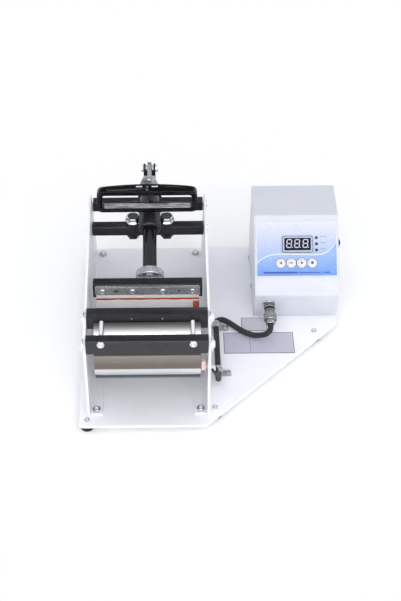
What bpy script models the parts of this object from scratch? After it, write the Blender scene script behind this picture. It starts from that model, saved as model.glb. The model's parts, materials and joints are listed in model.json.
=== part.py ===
# Mug heat press: a wrap-round heater between two side plates, closed by a push toggle clamp,
# with its controller box on the same base plate.
# Metres, +Z up. The press frame has x = 0 midway between the side plates, y = 0 at the base
# plate's front edge (+Y to the rear) and z = 0 on the base plate's top.

import bpy
import bmesh
from math import acos, asin, atan2, cos, hypot, pi, radians, sin, sqrt
from mathutils import Euler, Matrix, Vector

MM = 0.001

# Fits and facets
GAP = 0.3 * MM
OVERRUN = 3.0 * MM
MERGE = 0.01 * MM
SEAT_SINK = 0.1 * MM
FINE_SIDES = 40
SMALL_DOME_SHARE = 0.7
HEAD_LAP_SHARE = 0.25
BARREL_SIDES = 16
ROUND_SIDES = 12
SCREW_SIDES = 10
SHANK_SIDES = 6
HEX_SIDES = 6
CORNER_STEPS = 3
ARC_STEPS = 16
BOW_STEPS = 8

# Base plate and feet
BASE_LEFT = 80 * MM
BASE_RIGHT = 231 * MM
BASE_DEPTH = 305 * MM
BASE_THICK = 4 * MM
BASE_NOSE = 66 * MM
BASE_SHOULDER = 163 * MM
BASE_CORNER_R = 4 * MM
FOOT_R = 9 * MM
FOOT_TOE_R = 7.4 * MM
FOOT_HEIGHT = 8 * MM
FOOT_EDGE = 0.5 * MM
FOOT_NAMES = ("front_left_foot", "front_foot", "right_foot", "rear_right_foot", "rear_left_foot")
FOOT_DIAGONAL_INSET = 11.5 * MM
FOOT_DIAGONAL_SHARES = (0.115, 0.872)
FOOT_REAR_INSET = 20 * MM
FOOT_SCREW_R = 2 * MM
FOOT_SCREW_HEAD_R = 3 * MM
FOOT_SCREW_HEAD = 1.8 * MM
FOOT_SCREW_BITE = 5 * MM

# Side plates
PRESS_WIDTH = 140 * MM
PLATE_THICK = 2.5 * MM
PLATE_FRONT = 13.5 * MM
PLATE_KNEE_Z = 121 * MM
PLATE_REAR_TOP = 247 * MM
PLATE_REAR_TOP_Z = 141 * MM
PLATE_REAR = 300 * MM
PLATE_FLANGE = 17 * MM
PLATE_CORNER_R = 9 * MM
PLATE_BOLT_IN = 10 * MM
PLATE_BOLT_SETBACK = 9 * MM
PLATE_BOLT_R = 2.5 * MM
PLATE_BOLT_HEAD_R = 4.6 * MM
PLATE_BOLT_HEAD = 3 * MM
PLATE_BOLT_DOME_SHARE = 0.72
PLATE_NUT = 3 * MM
LEAD_HOLE_R = 5 * MM
LEAD_HOLE_Y = 27 * MM
LEAD_HOLE_Z = 69 * MM

# Mug space and the wrap-round heater
MUG_Y = 70 * MM
MUG_Z = 75.3 * MM
WRAP_WIDTH = 119 * MM
SHELL_R = 48 * MM
SHELL_THICK = 0.8 * MM
MAT_THICK = 3.2 * MM
LINER_THICK = 0.6 * MM
SHELL_START = radians(116.3)
MAT_START = radians(120.5)
SPLIT = radians(270)
SPLIT_GAP = radians(0.5)
MAT_REAR_TOP = 90 * MM
SENSOR_WIDTH = 7 * MM
SENSOR_THICK = 2.1 * MM
SENSOR_LOW = 79 * MM
SENSOR_HIGH = 89.5 * MM
LEAD_TAB_LENGTH = 5.5 * MM
LEAD_TAB_DEPTH = 7 * MM
LEAD_TAB_LOW = 66 * MM
LEAD_TAB_HIGH = 80 * MM

# Front bars and clamp screws
BAR_DEPTH = 11 * MM
FRONT_BAR_Y = 12.6 * MM
FRONT_BAR_TOP = 124.5 * MM
FRONT_BAR_HEIGHT = 20 * MM
ANCHOR_Y = 49.4 * MM
ANCHOR_TOP = 129.5 * MM
ANCHOR_HEIGHT = 14 * MM
ANCHOR_WALL = 3 * MM
BAR_EDGE = 0.6 * MM
ANCHOR_LUG_HEIGHT = 22 * MM
ANCHOR_LUG_THICK = 14 * MM
END_BOLT_R = 3 * MM
END_BOLT_HEAD_R = 5 * MM
END_BOLT_HEAD = 3 * MM
END_DOME_SHARE = 0.88
END_WASHER_R = 8.2 * MM
END_WASHER = 1.4 * MM
END_BOLT_BITE = 12 * MM
REAR_END_BOLT_HEAD_R = 4.6 * MM
CLAMP_SCREW_X = 50.5 * MM
CLAMP_SCREW_Z = 120.5 * MM
CLAMP_SCREW_R = 2.4 * MM
CLAMP_SCREW_HEAD_R = 4.4 * MM
CLAMP_SCREW_HEAD = 2.4 * MM
CLAMP_SCREW_CLEAR = 2.4 * MM

# Rear crossbars
CROSSBAR_DEPTH = 12 * MM
CROSSBAR_HEIGHT = 13 * MM
LOWER_BAR_Y = 221.8 * MM
LOWER_BAR_TOP = 107.6 * MM
UPPER_BAR_Y = 256 * MM
UPPER_BAR_TOP = 117.2 * MM

# Toggle clamp, with distances measured along its tilted axis from above the mug's middle
CLAMP_TILT = radians(16.7)
CLAMP_X = 2.5 * MM
CLAMP_AXIS_Z = 76.8 * MM
NUT_FRONT = 74.1 * MM
NUT_THICK = 9.6 * MM
NUT_R = 16.3 * MM
NUT_KNURL = 0.7 * MM
NUT_KNURLS = 22
NUT_HUB_R = 10.5 * MM
NUT_HUB = 1.6 * MM
TUBE_R = 8.25 * MM
HOUSING_FRONT = 141.8 * MM
PIVOT_REACH = 231.25 * MM
CRANK = 20 * MM
LINK_LENGTH = 45 * MM
OPEN_ANGLE = radians(110)
BARREL_R = 13.2 * MM
BARREL_REAR_R = 11.6 * MM
BARREL_LIP = 1.2 * MM
BARREL_END = 46 * MM
TUBE_GUIDED = 11 * MM
ROD_R = 4.4 * MM
STUD_R = 4 * MM
STUD_SEAT = 68.5 * MM
TANG_THICK = 5 * MM
TANG_HEIGHT = 8.4 * MM
TANG_RUN_SHARE = 1.4
LINK_THICK = 1.8 * MM
LINK_SIDE_GAP = 0.3 * MM
LINK_R = 4 * MM
LINK_PIN_R = 2.5 * MM
CRANK_HEAD_R = 3.4 * MM
CRANK_HEAD = 3 * MM
CHEEK_THICK = 2.4 * MM
CHEEK_RISE = 5 * MM
CHEEK_DIP = 5.2 * MM
CHEEK_DIP_START = 28 * MM
CHEEK_DIP_FULL = 25.5 * MM
TROUGH_DEPTH = 13.4 * MM
TROUGH_FLOOR = 9.4 * MM
EAR_R = 6 * MM
EAR_BACK = 9 * MM
PIVOT_R = 2.5 * MM
PIVOT_HEAD_R = 4.6 * MM
PIVOT_HEAD = 2.6 * MM
PIVOT_WASHER_R = 4.4 * MM
CLAMP_FOOT_REACH = 29 * MM
CLAMP_FOOT_THICK = 5.5 * MM
CLAMP_FOOT_DEPTH = 16 * MM
CLAMP_FOOT_R = 7.5 * MM
CLAMP_BOLT_X = 20.5 * MM
REAR_BOLT_X = 8.6 * MM
REAR_BOLT_BITE = 3.6 * MM
REAR_FOOT_REACH = 14.5 * MM
CLAMP_BOLT_R = 4 * MM
CLAMP_BOLT_HEAD_R = 7.6 * MM
CLAMP_BOLT_HEAD = 5.6 * MM
CLAMP_DOME_SHARE = 0.95
CLAMP_WASHER_R = 8.2 * MM
CLAMP_WASHER = 1.4 * MM
CLAMP_NUT = 5 * MM

# Moving jaw
JAW_FRONT = 118.3 * MM
JAW_DEPTH = 12 * MM
JAW_TOP = 110 * MM
JAW_HEIGHT = 20 * MM
JAW_WIDTH = 126.5 * MM
STRIP_WIDTH = 121 * MM
STRIP_THICK = 2 * MM
STRIP_LOW = 97 * MM
STRIP_HIGH = 109 * MM
STRIP_SCREW_SHARES = (-0.43, -0.145, 0.145, 0.43)
STRIP_SCREW_R = 1.6 * MM
STRIP_SCREW_HEAD_R = 3.4 * MM
STRIP_SCREW_HEAD = 2 * MM
STRIP_HOLE_SHARE = 0.3
STRIP_HOLE_R = 1.6 * MM
SOCKET_PLATE_WIDTH = 30 * MM
SOCKET_PLATE_THICK = 4 * MM
SOCKET_BOSS_R = 7.2 * MM
SOCKET_SCREW_X = 9.8 * MM
SOCKET_SCREW_DROP = 6.5 * MM
SOCKET_SCREW_HEAD_R = 3.2 * MM
SOCKET_SCREW_HEAD = 2 * MM

# Lever and grip
LEVER_THICK = 5 * MM
LEVER_ARM_THICK = 4.4 * MM
LEVER_HEEL_R = 8 * MM
LEVER_CRANK_R = 7 * MM
LEVER_NECK_R = 3.4 * MM
FLARE_Y = 243.5 * MM
FLARE_REAR_WIDTH = 13 * MM
FLARE_WIDTH = 22 * MM
FLARE_THICK = 2.6 * MM
TONGUE_WIDTH = 9 * MM
TONGUE_LENGTH = 13 * MM
GRIP_FRONT = 211.5 * MM
GRIP_DEPTH = 14.5 * MM
GRIP_END_DEPTH = 9 * MM
GRIP_WIDTH = 118 * MM
GRIP_TOP = 171.5 * MM
GRIP_HEIGHT = 31.3 * MM
GRIP_TOP_BAR = 6.2 * MM
GRIP_LOW_BAR = 5.6 * MM
GRIP_SIDE_BAR = 6.4 * MM
GRIP_CORNER_R = 6 * MM
GRIP_HOLE_R = 3 * MM
GRIP_EDGE = 1.1 * MM
GRIP_RECESS = 0.8 * MM
GRIP_RECESS_HALF = 46 * MM
GRIP_RECESS_RIM = 2.2 * MM
GRIP_SLOT_INNER = 5.4 * MM
GRIP_SLOT_OUTER = 13 * MM
GRIP_SLOT_DEPTH = 2.2 * MM
GRIP_SLOT_SETBACK = 10.5 * MM
GRIP_SCREW_SPACING = 5.4 * MM
GRIP_SCREW_SETBACK = 4.6 * MM
GRIP_SCREW_R = 1.1 * MM
GRIP_SCREW_HEAD_R = 1.9 * MM
GRIP_SCREW_HEAD = 0.9 * MM

# Control box
BOX_LEFT = 129 * MM
BOX_FOOT_Y = 176.7 * MM
BOX_LOW_BEND_Y = 163 * MM
BOX_LOW_BEND_Z = 47 * MM
BOX_TOP_BEND_Y = 238 * MM
BOX_TOP_Z = 111 * MM
BOX_REAR = 295 * MM
BOX_WALL = 1.4 * MM
BOX_BEND_R = 3 * MM
BOX_SCREW_R = 1.6 * MM
BOX_SCREW_HEAD_R = 3 * MM
BOX_SCREW_HEAD = 1.8 * MM
BOX_SCREW_RISE = 12 * MM
BOX_SCREW_SHARES = (0.35, 0.8)
BOX_TAB_WIDTH = 14 * MM
BOX_TAB_THICK = 1.6 * MM
BOX_TAB_TOP = 18 * MM
VENT_COUNT = 5
VENT_WIDTH = 2.4 * MM
VENT_LENGTH = 26 * MM
VENT_PITCH = 6.5 * MM
VENT_LOW = 62 * MM

# Front panel, with places measured up the slope from the lower bend
LABEL_WIDTH = 98 * MM
LABEL_LOW = 23.5 * MM
LABEL_HIGH = 90.5 * MM
LABEL_THICK = 0.5 * MM
LABEL_CORNER_R = 1 * MM
BEZEL_X = 181 * MM
BEZEL_LOW = 53.1 * MM
BEZEL_WIDTH = 36.3 * MM
BEZEL_HEIGHT = 19.4 * MM
BEZEL_PROUD = 1.2 * MM
BEZEL_RIM = 2.2 * MM
BEZEL_FLANGE = 1.6 * MM
BEZEL_R = 2.2 * MM
LAMP_X = 204 * MM
LAMP_LOW = 55.4 * MM
LAMP_PITCH = 7.6 * MM
LAMP_COUNT = 3
LAMP_R = 1.6 * MM
LAMP_PROUD = 0.5 * MM
BUTTON_X = 160.4 * MM
BUTTON_PITCH = 12.7 * MM
BUTTON_V = 39.8 * MM
BUTTON_R = 4.6 * MM
BUTTON_PROUD = 1.8 * MM
BUTTON_TRAVEL = 0.8 * MM
BUTTON_SKIRT_R = 5.6 * MM
BUTTON_SKIRT = 1.2 * MM
BUTTON_FEEL = 0.3 * MM
BUTTON_NAMES = ("timer_button", "down_button", "up_button", "set_button")
BOARD_DEPTH = 9.5 * MM
BOARD_THICK = 1.6 * MM
BOARD_WIDTH = 76 * MM
BOARD_LOW = 26 * MM
BOARD_HIGH = 86 * MM
TACT_SIZE = 6 * MM
STANDOFF_R = 2.6 * MM
STANDOFF_INSET = 5 * MM

# Inside and behind the control box
TRANSFORMER_SIZE = (44 * MM, 36 * MM, 34 * MM)
TRANSFORMER_X = 180 * MM
TRANSFORMER_CLEAR = 3.6 * MM
CORE_DEPTH_SHARE = 0.5
WINDING_WIDTH_SHARE = 0.5
WINDING_GROW = 3 * MM
INLET_X = 158 * MM
INLET_Z = 30 * MM
INLET_FLANGE = (30 * MM, 24 * MM)
INLET_PROUD = 2 * MM
INLET_BODY = (27 * MM, 20 * MM)
INLET_DEPTH = 10 * MM
INLET_WELL = (23 * MM, 15 * MM)
INLET_R = 3 * MM
FUSE_X = 205 * MM
FUSE_Z = 30 * MM
FUSE_R = 7 * MM
FUSE_PROUD = 6 * MM
FUSE_BODY_R = 5.5 * MM
FUSE_DEPTH = 16 * MM

# Power switch on the right-hand wall
SWITCH_Y = 222 * MM
SWITCH_Z = 78 * MM
SWITCH_FRAME = (11 * MM, 14.5 * MM)
SWITCH_FRAME_PROUD = 1.4 * MM
SWITCH_OPENING = (7.6 * MM, 11.4 * MM)
SWITCH_BODY_DEPTH = 11 * MM
ROCKER_CLEAR = 0.5 * MM
ROCKER_AXIS_DEPTH = 2.4 * MM
ROCKER_REACH = 7 * MM
ROCKER_REACH_TURN = radians(41)
ROCKER_SHOULDER = 5.4 * MM
ROCKER_SHOULDER_TURN = radians(69)
ROCKER_HIP = 4 * MM
ROCKER_HIP_TURN = radians(103)
ROCKER_DISH = 4.9 * MM
ROCKER_KEEL = 2.6 * MM
ROCKER_DEEP = 6 * MM
ROCKER_THROW = radians(18)

# Heater connector and its lead
SOCKET_X = 147 * MM
SOCKET_DROP = 16.5 * MM
SOCKET_R = 8.4 * MM
SOCKET_FLANGE = 2 * MM
SOCKET_NECK_R = 5.2 * MM
SOCKET_NECK = 4 * MM
SOCKET_BODY_DEPTH = 9 * MM
PLUG_LENGTH = 27.5 * MM
PLUG_STEP_SHARES = (0.2, 0.48, 0.82, 1.0)
PLUG_COLLAR_R = 6.9 * MM
PLUG_WAIST_R = 6.2 * MM
PLUG_NUT_R = 7.9 * MM
PLUG_TAIL_R = 5.3 * MM
LEAD_R = 3.4 * MM
CLIP_WALL = 1.3 * MM
CLIP_WIDTH = 9 * MM
CLIP_LIP = 0.2 * MM
CLIP_HEEL = 1.1 * MM
CLIP_TAB = 15.4 * MM
CLIP_SCREW_REACH = 11.3 * MM
CLIP_SCREW_R = 1.6 * MM
CLIP_SCREW_HEAD_R = 3.2 * MM
CLIP_SCREW_HEAD = 1.8 * MM
CLIP_REAR = (82 * MM, 155.5 * MM)
CLIP_FRONT = (82.2 * MM, 80 * MM)
LEAD_CORNER = ((146.2 * MM, 132.6 * MM, 19.6 * MM), (143.8 * MM, 131.6 * MM, 16 * MM),
               (140.4 * MM, 132.6 * MM, 12.2 * MM), (136.2 * MM, 135 * MM, 8.6 * MM),
               (131.8 * MM, 137.2 * MM, 6 * MM), (127.6 * MM, 138.9 * MM, 4.7 * MM),
               (119 * MM, 143.2 * MM, 4.2 * MM), (109.5 * MM, 150.3 * MM, 4.5 * MM),
               (99.9 * MM, 158.6 * MM, 5.5 * MM), (95 * MM, 161.9 * MM, 6.2 * MM),
               (90.3 * MM, 164.3 * MM, 6.4 * MM), (85.6 * MM, 163.9 * MM, 6.1 * MM))
LEAD_SAG_SHARES = (0.35, 0.65)
LEAD_CLIMB = ((82.1 * MM, 68.5 * MM, 6.4 * MM), (81.6 * MM, 61.5 * MM, 11 * MM), (80.9 * MM, 56 * MM, 21 * MM),
              (79.4 * MM, 50.5 * MM, 32 * MM), (77.4 * MM, 44 * MM, 43 * MM), (75.8 * MM, 36.5 * MM, 54 * MM))
LEAD_SPACING = 7 * MM
WIRE_SPACING = 4.4 * MM
WIRE_R = 1.1 * MM
WIRE_SPREAD = 0.9 * MM
WIRE_ENTRY = 4.5 * MM

# Places worked out from the sizes above
HALF_WIDTH = PRESS_WIDTH / 2
INNER_HALF = HALF_WIDTH - PLATE_THICK
BOX_RIGHT = BASE_RIGHT
ROCKER_PROUD = ROCKER_REACH * cos(ROCKER_REACH_TURN - ROCKER_THROW / 2) - ROCKER_AXIS_DEPTH
ORIGIN_X = (BOX_RIGHT + ROCKER_PROUD - BASE_LEFT) / 2
ORIGIN_Y = BASE_DEPTH / 2
FLOOR_Z = -BASE_THICK - FOOT_HEIGHT
PIVOT_Y = MUG_Y + PIVOT_REACH * cos(CLAMP_TILT)
PIVOT_Z = CLAMP_AXIS_Z + PIVOT_REACH * sin(CLAMP_TILT)
CRANK_REACH = PIVOT_REACH - CRANK
LINK_REACH = CRANK_REACH - LINK_LENGTH
STROKE = CRANK * (1 - cos(OPEN_ANGLE)) + LINK_LENGTH - sqrt(LINK_LENGTH ** 2 - (CRANK * sin(OPEN_ANGLE)) ** 2)
LINK_SWING = asin(CRANK * sin(OPEN_ANGLE) / LINK_LENGTH)
PANEL_SLOPE = atan2(BOX_TOP_Z - BOX_LOW_BEND_Z, BOX_TOP_BEND_Y - BOX_LOW_BEND_Y)
LOWER_FACE_LENGTH = hypot(BOX_LOW_BEND_Z, BOX_FOOT_Y - BOX_LOW_BEND_Y)
LOWER_FACE_TURN = atan2(BOX_LOW_BEND_Z, BOX_LOW_BEND_Y - BOX_FOOT_Y)
LINK_INNER = TANG_THICK / 2 + LINK_SIDE_GAP
LINK_OUTER = LINK_INNER + LINK_THICK
CHANNEL_HALF = LINK_OUTER + LINK_SIDE_GAP
CHEEK_OUTER = CHANNEL_HALF + CHEEK_THICK
MAT_R = SHELL_R - SHELL_THICK - GAP
LINER_R = MAT_R - MAT_THICK - GAP
LEAD_Z = GAP * 3 + CLIP_WALL + LEAD_R
TONGUE_Z = GRIP_TOP - GRIP_TOP_BAR / 2

# Turns a flat outline so that its own x and y run along two of the press frame's axes
FLAT = Euler((0, 0, 0))
UPRIGHT_X = Euler((pi / 2, 0, pi / 2))
UPRIGHT_Y = Euler((pi / 2, 0, 0))


def clear_scene():
    for obj in list(bpy.data.objects):
        bpy.data.objects.remove(obj)


def collection(name):
    made = bpy.data.collections.new(name)
    bpy.context.scene.collection.children.link(made)
    return made


def finish(name, color, roughness, metallic=0.0):
    made = bpy.data.materials.new(name)
    made.use_nodes = True
    shader = made.node_tree.nodes["Principled BSDF"]
    shader.inputs["Base Color"].default_value = (*color, 1)
    shader.inputs["Roughness"].default_value = roughness
    shader.inputs["Metallic"].default_value = metallic
    made.diffuse_color = (*color, 1)
    return made


def empty(name, location=(0, 0, 0), turn=FLAT, parent=None):
    made = bpy.data.objects.new(name, None)
    made.location = location
    made.rotation_euler = turn
    made.parent = parent
    made.empty_display_size = FOOT_HEIGHT
    PARTS.objects.link(made)
    return made


def add(name, mesh, parent, material, location=(0, 0, 0), turn=FLAT):
    mesh.name = name
    made = bpy.data.objects.new(name, mesh)
    made.parent = parent
    made.location = location
    made.rotation_euler = turn
    mesh.materials.clear()
    mesh.materials.append(material)
    PARTS.objects.link(made)
    return made


def mesh_from(work, name="shape"):
    mesh = bpy.data.meshes.new(name)
    work.to_mesh(mesh)
    work.free()
    return mesh


def smooth(obj, angle=radians(35)):
    obj.data.shade_smooth()
    obj.data.set_sharp_from_angle(angle=angle)
    return obj


def block(low, high):
    work = bmesh.new()
    bmesh.ops.create_cube(work, size=1)
    size = [b - a for a, b in zip(low, high)]
    middle = [(a + b) / 2 for a, b in zip(low, high)]
    bmesh.ops.scale(work, vec=size, verts=work.verts)
    bmesh.ops.translate(work, vec=middle, verts=work.verts)
    return mesh_from(work)


def rod(start, end, radius, sides=ROUND_SIDES, end_radius=None):
    start, end = Vector(start), Vector(end)
    along = end - start
    work = bmesh.new()
    last = radius if end_radius is None else end_radius
    turn = along.to_track_quat("Z", "Y").to_matrix().to_4x4()
    place = Matrix.Translation((start + end) / 2) @ turn
    bmesh.ops.create_cone(work, cap_ends=True, segments=sides, radius1=radius, radius2=last,
                          depth=along.length, matrix=place)
    return mesh_from(work)


def rounded(corners, radii):
    """Corner points of a convex or hollow outline, with each corner turned into an arc."""
    if not isinstance(radii, (list, tuple)):
        radii = [radii] * len(corners)
    points = []
    for i, corner in enumerate(corners):
        here = Vector(corner)
        before = (Vector(corners[i - 1]) - here).normalized()
        after = (Vector(corners[(i + 1) % len(corners)]) - here).normalized()
        if radii[i] == 0:
            points.append(here)
            continue
        half = before.angle(after) / 2
        reach = radii[i] / sin(half)
        centre = here + (before + after).normalized() * reach
        first = here + before * (radii[i] / (sin(half) / cos(half))) - centre
        last = here + after * (radii[i] / (sin(half) / cos(half))) - centre
        swing = first.angle_signed(last)
        for step in range(CORNER_STEPS + 1):
            share = step / CORNER_STEPS
            points.append(centre + Matrix.Rotation(-swing * share, 2) @ first)
    return points


def arc(centre, radius, start, end, steps):
    turns = [start + (end - start) * i / steps for i in range(steps + 1)]
    return [Vector((centre[0] + radius * cos(t), centre[1] + radius * sin(t))) for t in turns]


def sheet(outlines, thickness):
    """A flat outline given half its thickness each way; later outlines are holes in the first."""
    curve = bpy.data.curves.new("outline", "CURVE")
    curve.dimensions = "2D"
    curve.fill_mode = "BOTH"
    curve.extrude = thickness / 2
    for outline in outlines:
        spline = curve.splines.new("POLY")
        spline.points.add(len(outline) - 1)
        for point, place in zip(spline.points, outline):
            point.co = (place[0], place[1], 0, 1)
        spline.use_cyclic_u = True
    guide = bpy.data.objects.new("outline", curve)
    bpy.context.scene.collection.objects.link(guide)
    mesh = bpy.data.meshes.new_from_object(guide.evaluated_get(bpy.context.evaluated_depsgraph_get()))
    bpy.data.objects.remove(guide)
    work = bmesh.new()
    work.from_mesh(mesh)
    bmesh.ops.remove_doubles(work, verts=work.verts, dist=MERGE)
    bpy.data.meshes.remove(mesh)
    return mesh_from(work)


def turned(profile, sides=ROUND_SIDES):
    """A solid of revolution about Z, from (radius, height) points that run top to bottom."""
    work = bmesh.new()
    verts = [work.verts.new((radius, 0, height)) for radius, height in profile]
    for first, second in zip(verts, verts[1:]):
        work.edges.new((first, second))
    guide = bpy.data.objects.new("profile", mesh_from(work))
    bpy.context.scene.collection.objects.link(guide)
    screw = guide.modifiers.new("Screw", "SCREW")
    screw.steps = sides
    screw.render_steps = sides
    screw.use_merge_vertices = True
    screw.merge_threshold = MERGE
    mesh = baked(guide)
    bpy.data.objects.remove(guide)
    return mesh


def baked(obj):
    bpy.context.view_layer.update()
    graph = bpy.context.evaluated_depsgraph_get()
    return bpy.data.meshes.new_from_object(obj.evaluated_get(graph), depsgraph=graph)


def tube(points, radius, resolution=1):
    """A round bar along a smooth curve through a few chosen points."""
    curve = bpy.data.curves.new("run", "CURVE")
    curve.dimensions = "3D"
    curve.bevel_depth = radius
    curve.bevel_resolution = resolution
    curve.use_fill_caps = True
    spline = curve.splines.new("POLY")
    spline.points.add(len(points) - 1)
    for point, place in zip(spline.points, points):
        point.co = (*place, 1)
    guide = bpy.data.objects.new("run", curve)
    bpy.context.scene.collection.objects.link(guide)
    mesh = baked(guide)
    bpy.data.objects.remove(guide)
    work = bmesh.new()
    work.from_mesh(mesh)
    bmesh.ops.remove_doubles(work, verts=work.verts, dist=MERGE)
    bpy.data.meshes.remove(mesh)
    return mesh_from(work)


def smooth_route(points, spacing):
    """Evenly read points of the smooth curve that passes through the given ones."""
    points = [Vector(p) for p in points]
    dense = []
    for i in range(len(points) - 1):
        before = points[max(i - 1, 0)]
        start, end = points[i], points[i + 1]
        after = points[min(i + 2, len(points) - 1)]
        for step in range(FINE_SIDES):
            t = step / FINE_SIDES
            dense.append(0.5 * (2 * start + (end - before) * t
                                + (2 * before - 5 * start + 4 * end - after) * t ** 2
                                + (3 * start - before - 3 * end + after) * t ** 3))
    dense.append(points[-1])
    total = sum((b - a).length for a, b in zip(dense, dense[1:]))
    count = max(round(total / spacing), 2)
    route, walked, target = [dense[0]], 0, total / count
    for a, b in zip(dense, dense[1:]):
        length = (b - a).length
        while length > 0 and walked + length >= target and len(route) < count:
            route.append(a.lerp(b, (target - walked) / length))
            target += total / count
        walked += length
    route.append(dense[-1])
    print("route of", len(points), "points is", round(total / MM), "mm long")
    return route


def cutter(mesh, parent, location=(0, 0, 0), turn=FLAT):
    made = bpy.data.objects.new("cutter", mesh)
    made.parent = parent
    made.location = location
    made.rotation_euler = turn
    made.hide_render = True
    made.display_type = "WIRE"
    CUTTERS.objects.link(made)
    return made


def boolean(target, operation, *tools):
    for tool in tools:
        step = target.modifiers.new(operation.title(), "BOOLEAN")
        step.operation = operation
        step.solver = "EXACT"
        step.object = tool
    return target


def cut(target, *tools):
    return boolean(target, "DIFFERENCE", *tools)


def fuse(target, *tools):
    return boolean(target, "UNION", *tools)


def bevel(obj, width, segments=2, angle=radians(40)):
    edge = obj.modifiers.new("Edge", "BEVEL")
    edge.width = width
    edge.segments = segments
    edge.limit_method = "ANGLE"
    edge.angle_limit = angle
    edge.use_clamp_overlap = True
    return obj


def fastener(head_sides, head_r, head, shank_r, shank, dome_share=1.0, washer_r=0, washer=0, nut=0):
    """A bolt along Z with its seat at z = 0, head above, shank below and a nut on the shank's end."""
    low = washer if washer else 0
    top = bpy.data.objects.new("head", rod((0, 0, low), (0, 0, low + head), head_r, head_sides,
                                           head_r * dome_share))
    stem = bpy.data.objects.new("stem", rod((0, 0, -shank), (0, 0, low + head / 2), shank_r, SHANK_SIDES))
    pieces = [top, stem]
    if washer:
        disc = rod((0, 0, 0), (0, 0, washer + head * HEAD_LAP_SHARE), washer_r, SCREW_SIDES)
        pieces.append(bpy.data.objects.new("disc", disc))
    if nut:
        ring = rod((0, 0, -shank), (0, 0, nut - shank), head_r, HEX_SIDES)
        stem.data = rod((0, 0, -shank - GAP), (0, 0, low + head / 2), shank_r, SHANK_SIDES)
        pieces.append(bpy.data.objects.new("nut", ring))
    for piece in pieces:
        bpy.context.scene.collection.objects.link(piece)
    mesh = baked(fuse(*pieces))
    for piece in pieces:
        bpy.data.objects.remove(piece)
    return mesh


def weld(carrier, mesh, places, parent):
    """Joins a fastener at each of its places to the piece that carries it."""
    sunk = Matrix.Translation((0, 0, -SEAT_SINK))
    return fuse(carrier, *(cutter(mesh.copy(), parent, *spot(place @ sunk)) for place in places))


def spot(place):
    return place.to_translation(), place.to_euler()


def facing(location, direction):
    """Places a fastener so that its head looks along the given direction."""
    return Matrix.Translation(location) @ Vector(direction).to_track_quat("Z", "Y").to_matrix().to_4x4()


clear_scene()
PARTS = collection("mug_heat_press")
CUTTERS = collection("cutters")

WHITE_PAINT = finish("white_powder_coat", (0.88, 0.89, 0.91), 0.3)
BLACK_PAINT = finish("black_paint", (0.03, 0.03, 0.035), 0.4)
STEEL = finish("stainless_steel", (0.62, 0.6, 0.58), 0.28, 1.0)
ZINC = finish("zinc_plating", (0.6, 0.61, 0.62), 0.35, 1.0)
CHROME = finish("chrome_plating", (0.8, 0.8, 0.8), 0.12, 1.0)
BLACK_PLASTIC = finish("black_gloss_plastic", (0.012, 0.012, 0.014), 0.18)
RUBBER = finish("black_rubber", (0.02, 0.02, 0.02), 0.7)
RED_SILICONE = finish("red_silicone", (0.5, 0.07, 0.03), 0.5)
LINER_CLOTH = finish("white_coated_cloth", (0.8, 0.79, 0.77), 0.4)
NYLON = finish("clear_nylon", (0.8, 0.8, 0.8), 0.35)
LABEL_FILM = finish("blue_label_film", (0.35, 0.55, 0.85), 0.3)
GREY_BUTTON = finish("pale_button_plastic", (0.75, 0.76, 0.78), 0.35)
DARK_WINDOW = finish("dark_display_plastic", (0.02, 0.022, 0.035), 0.12)
BOARD_GREEN = finish("circuit_board", (0.05, 0.22, 0.1), 0.5)

press = empty("press_frame", (-ORIGIN_X, -ORIGIN_Y, -FLOOR_Z))
clamp = empty("clamp_axis", (CLAMP_X, MUG_Y, CLAMP_AXIS_Z), Euler((CLAMP_TILT, 0, 0)), press)
link_pivot = empty("link_pivot", (0, LINK_REACH, 0), FLAT, clamp)
lever_pivot = empty("lever_pivot", (CLAMP_X, PIVOT_Y, PIVOT_Z), FLAT, press)
panel = empty("panel_frame", (0, BOX_LOW_BEND_Y, BOX_LOW_BEND_Z), Euler((PANEL_SLOPE, 0, 0)), press)


def diagonal_place(share):
    start, end = Vector((BASE_NOSE, 0)), Vector((BASE_RIGHT, BASE_SHOULDER))
    along = (end - start).normalized()
    inward = Vector((-along.y, along.x))
    return start.lerp(end, share) + inward * FOOT_DIAGONAL_INSET


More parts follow.
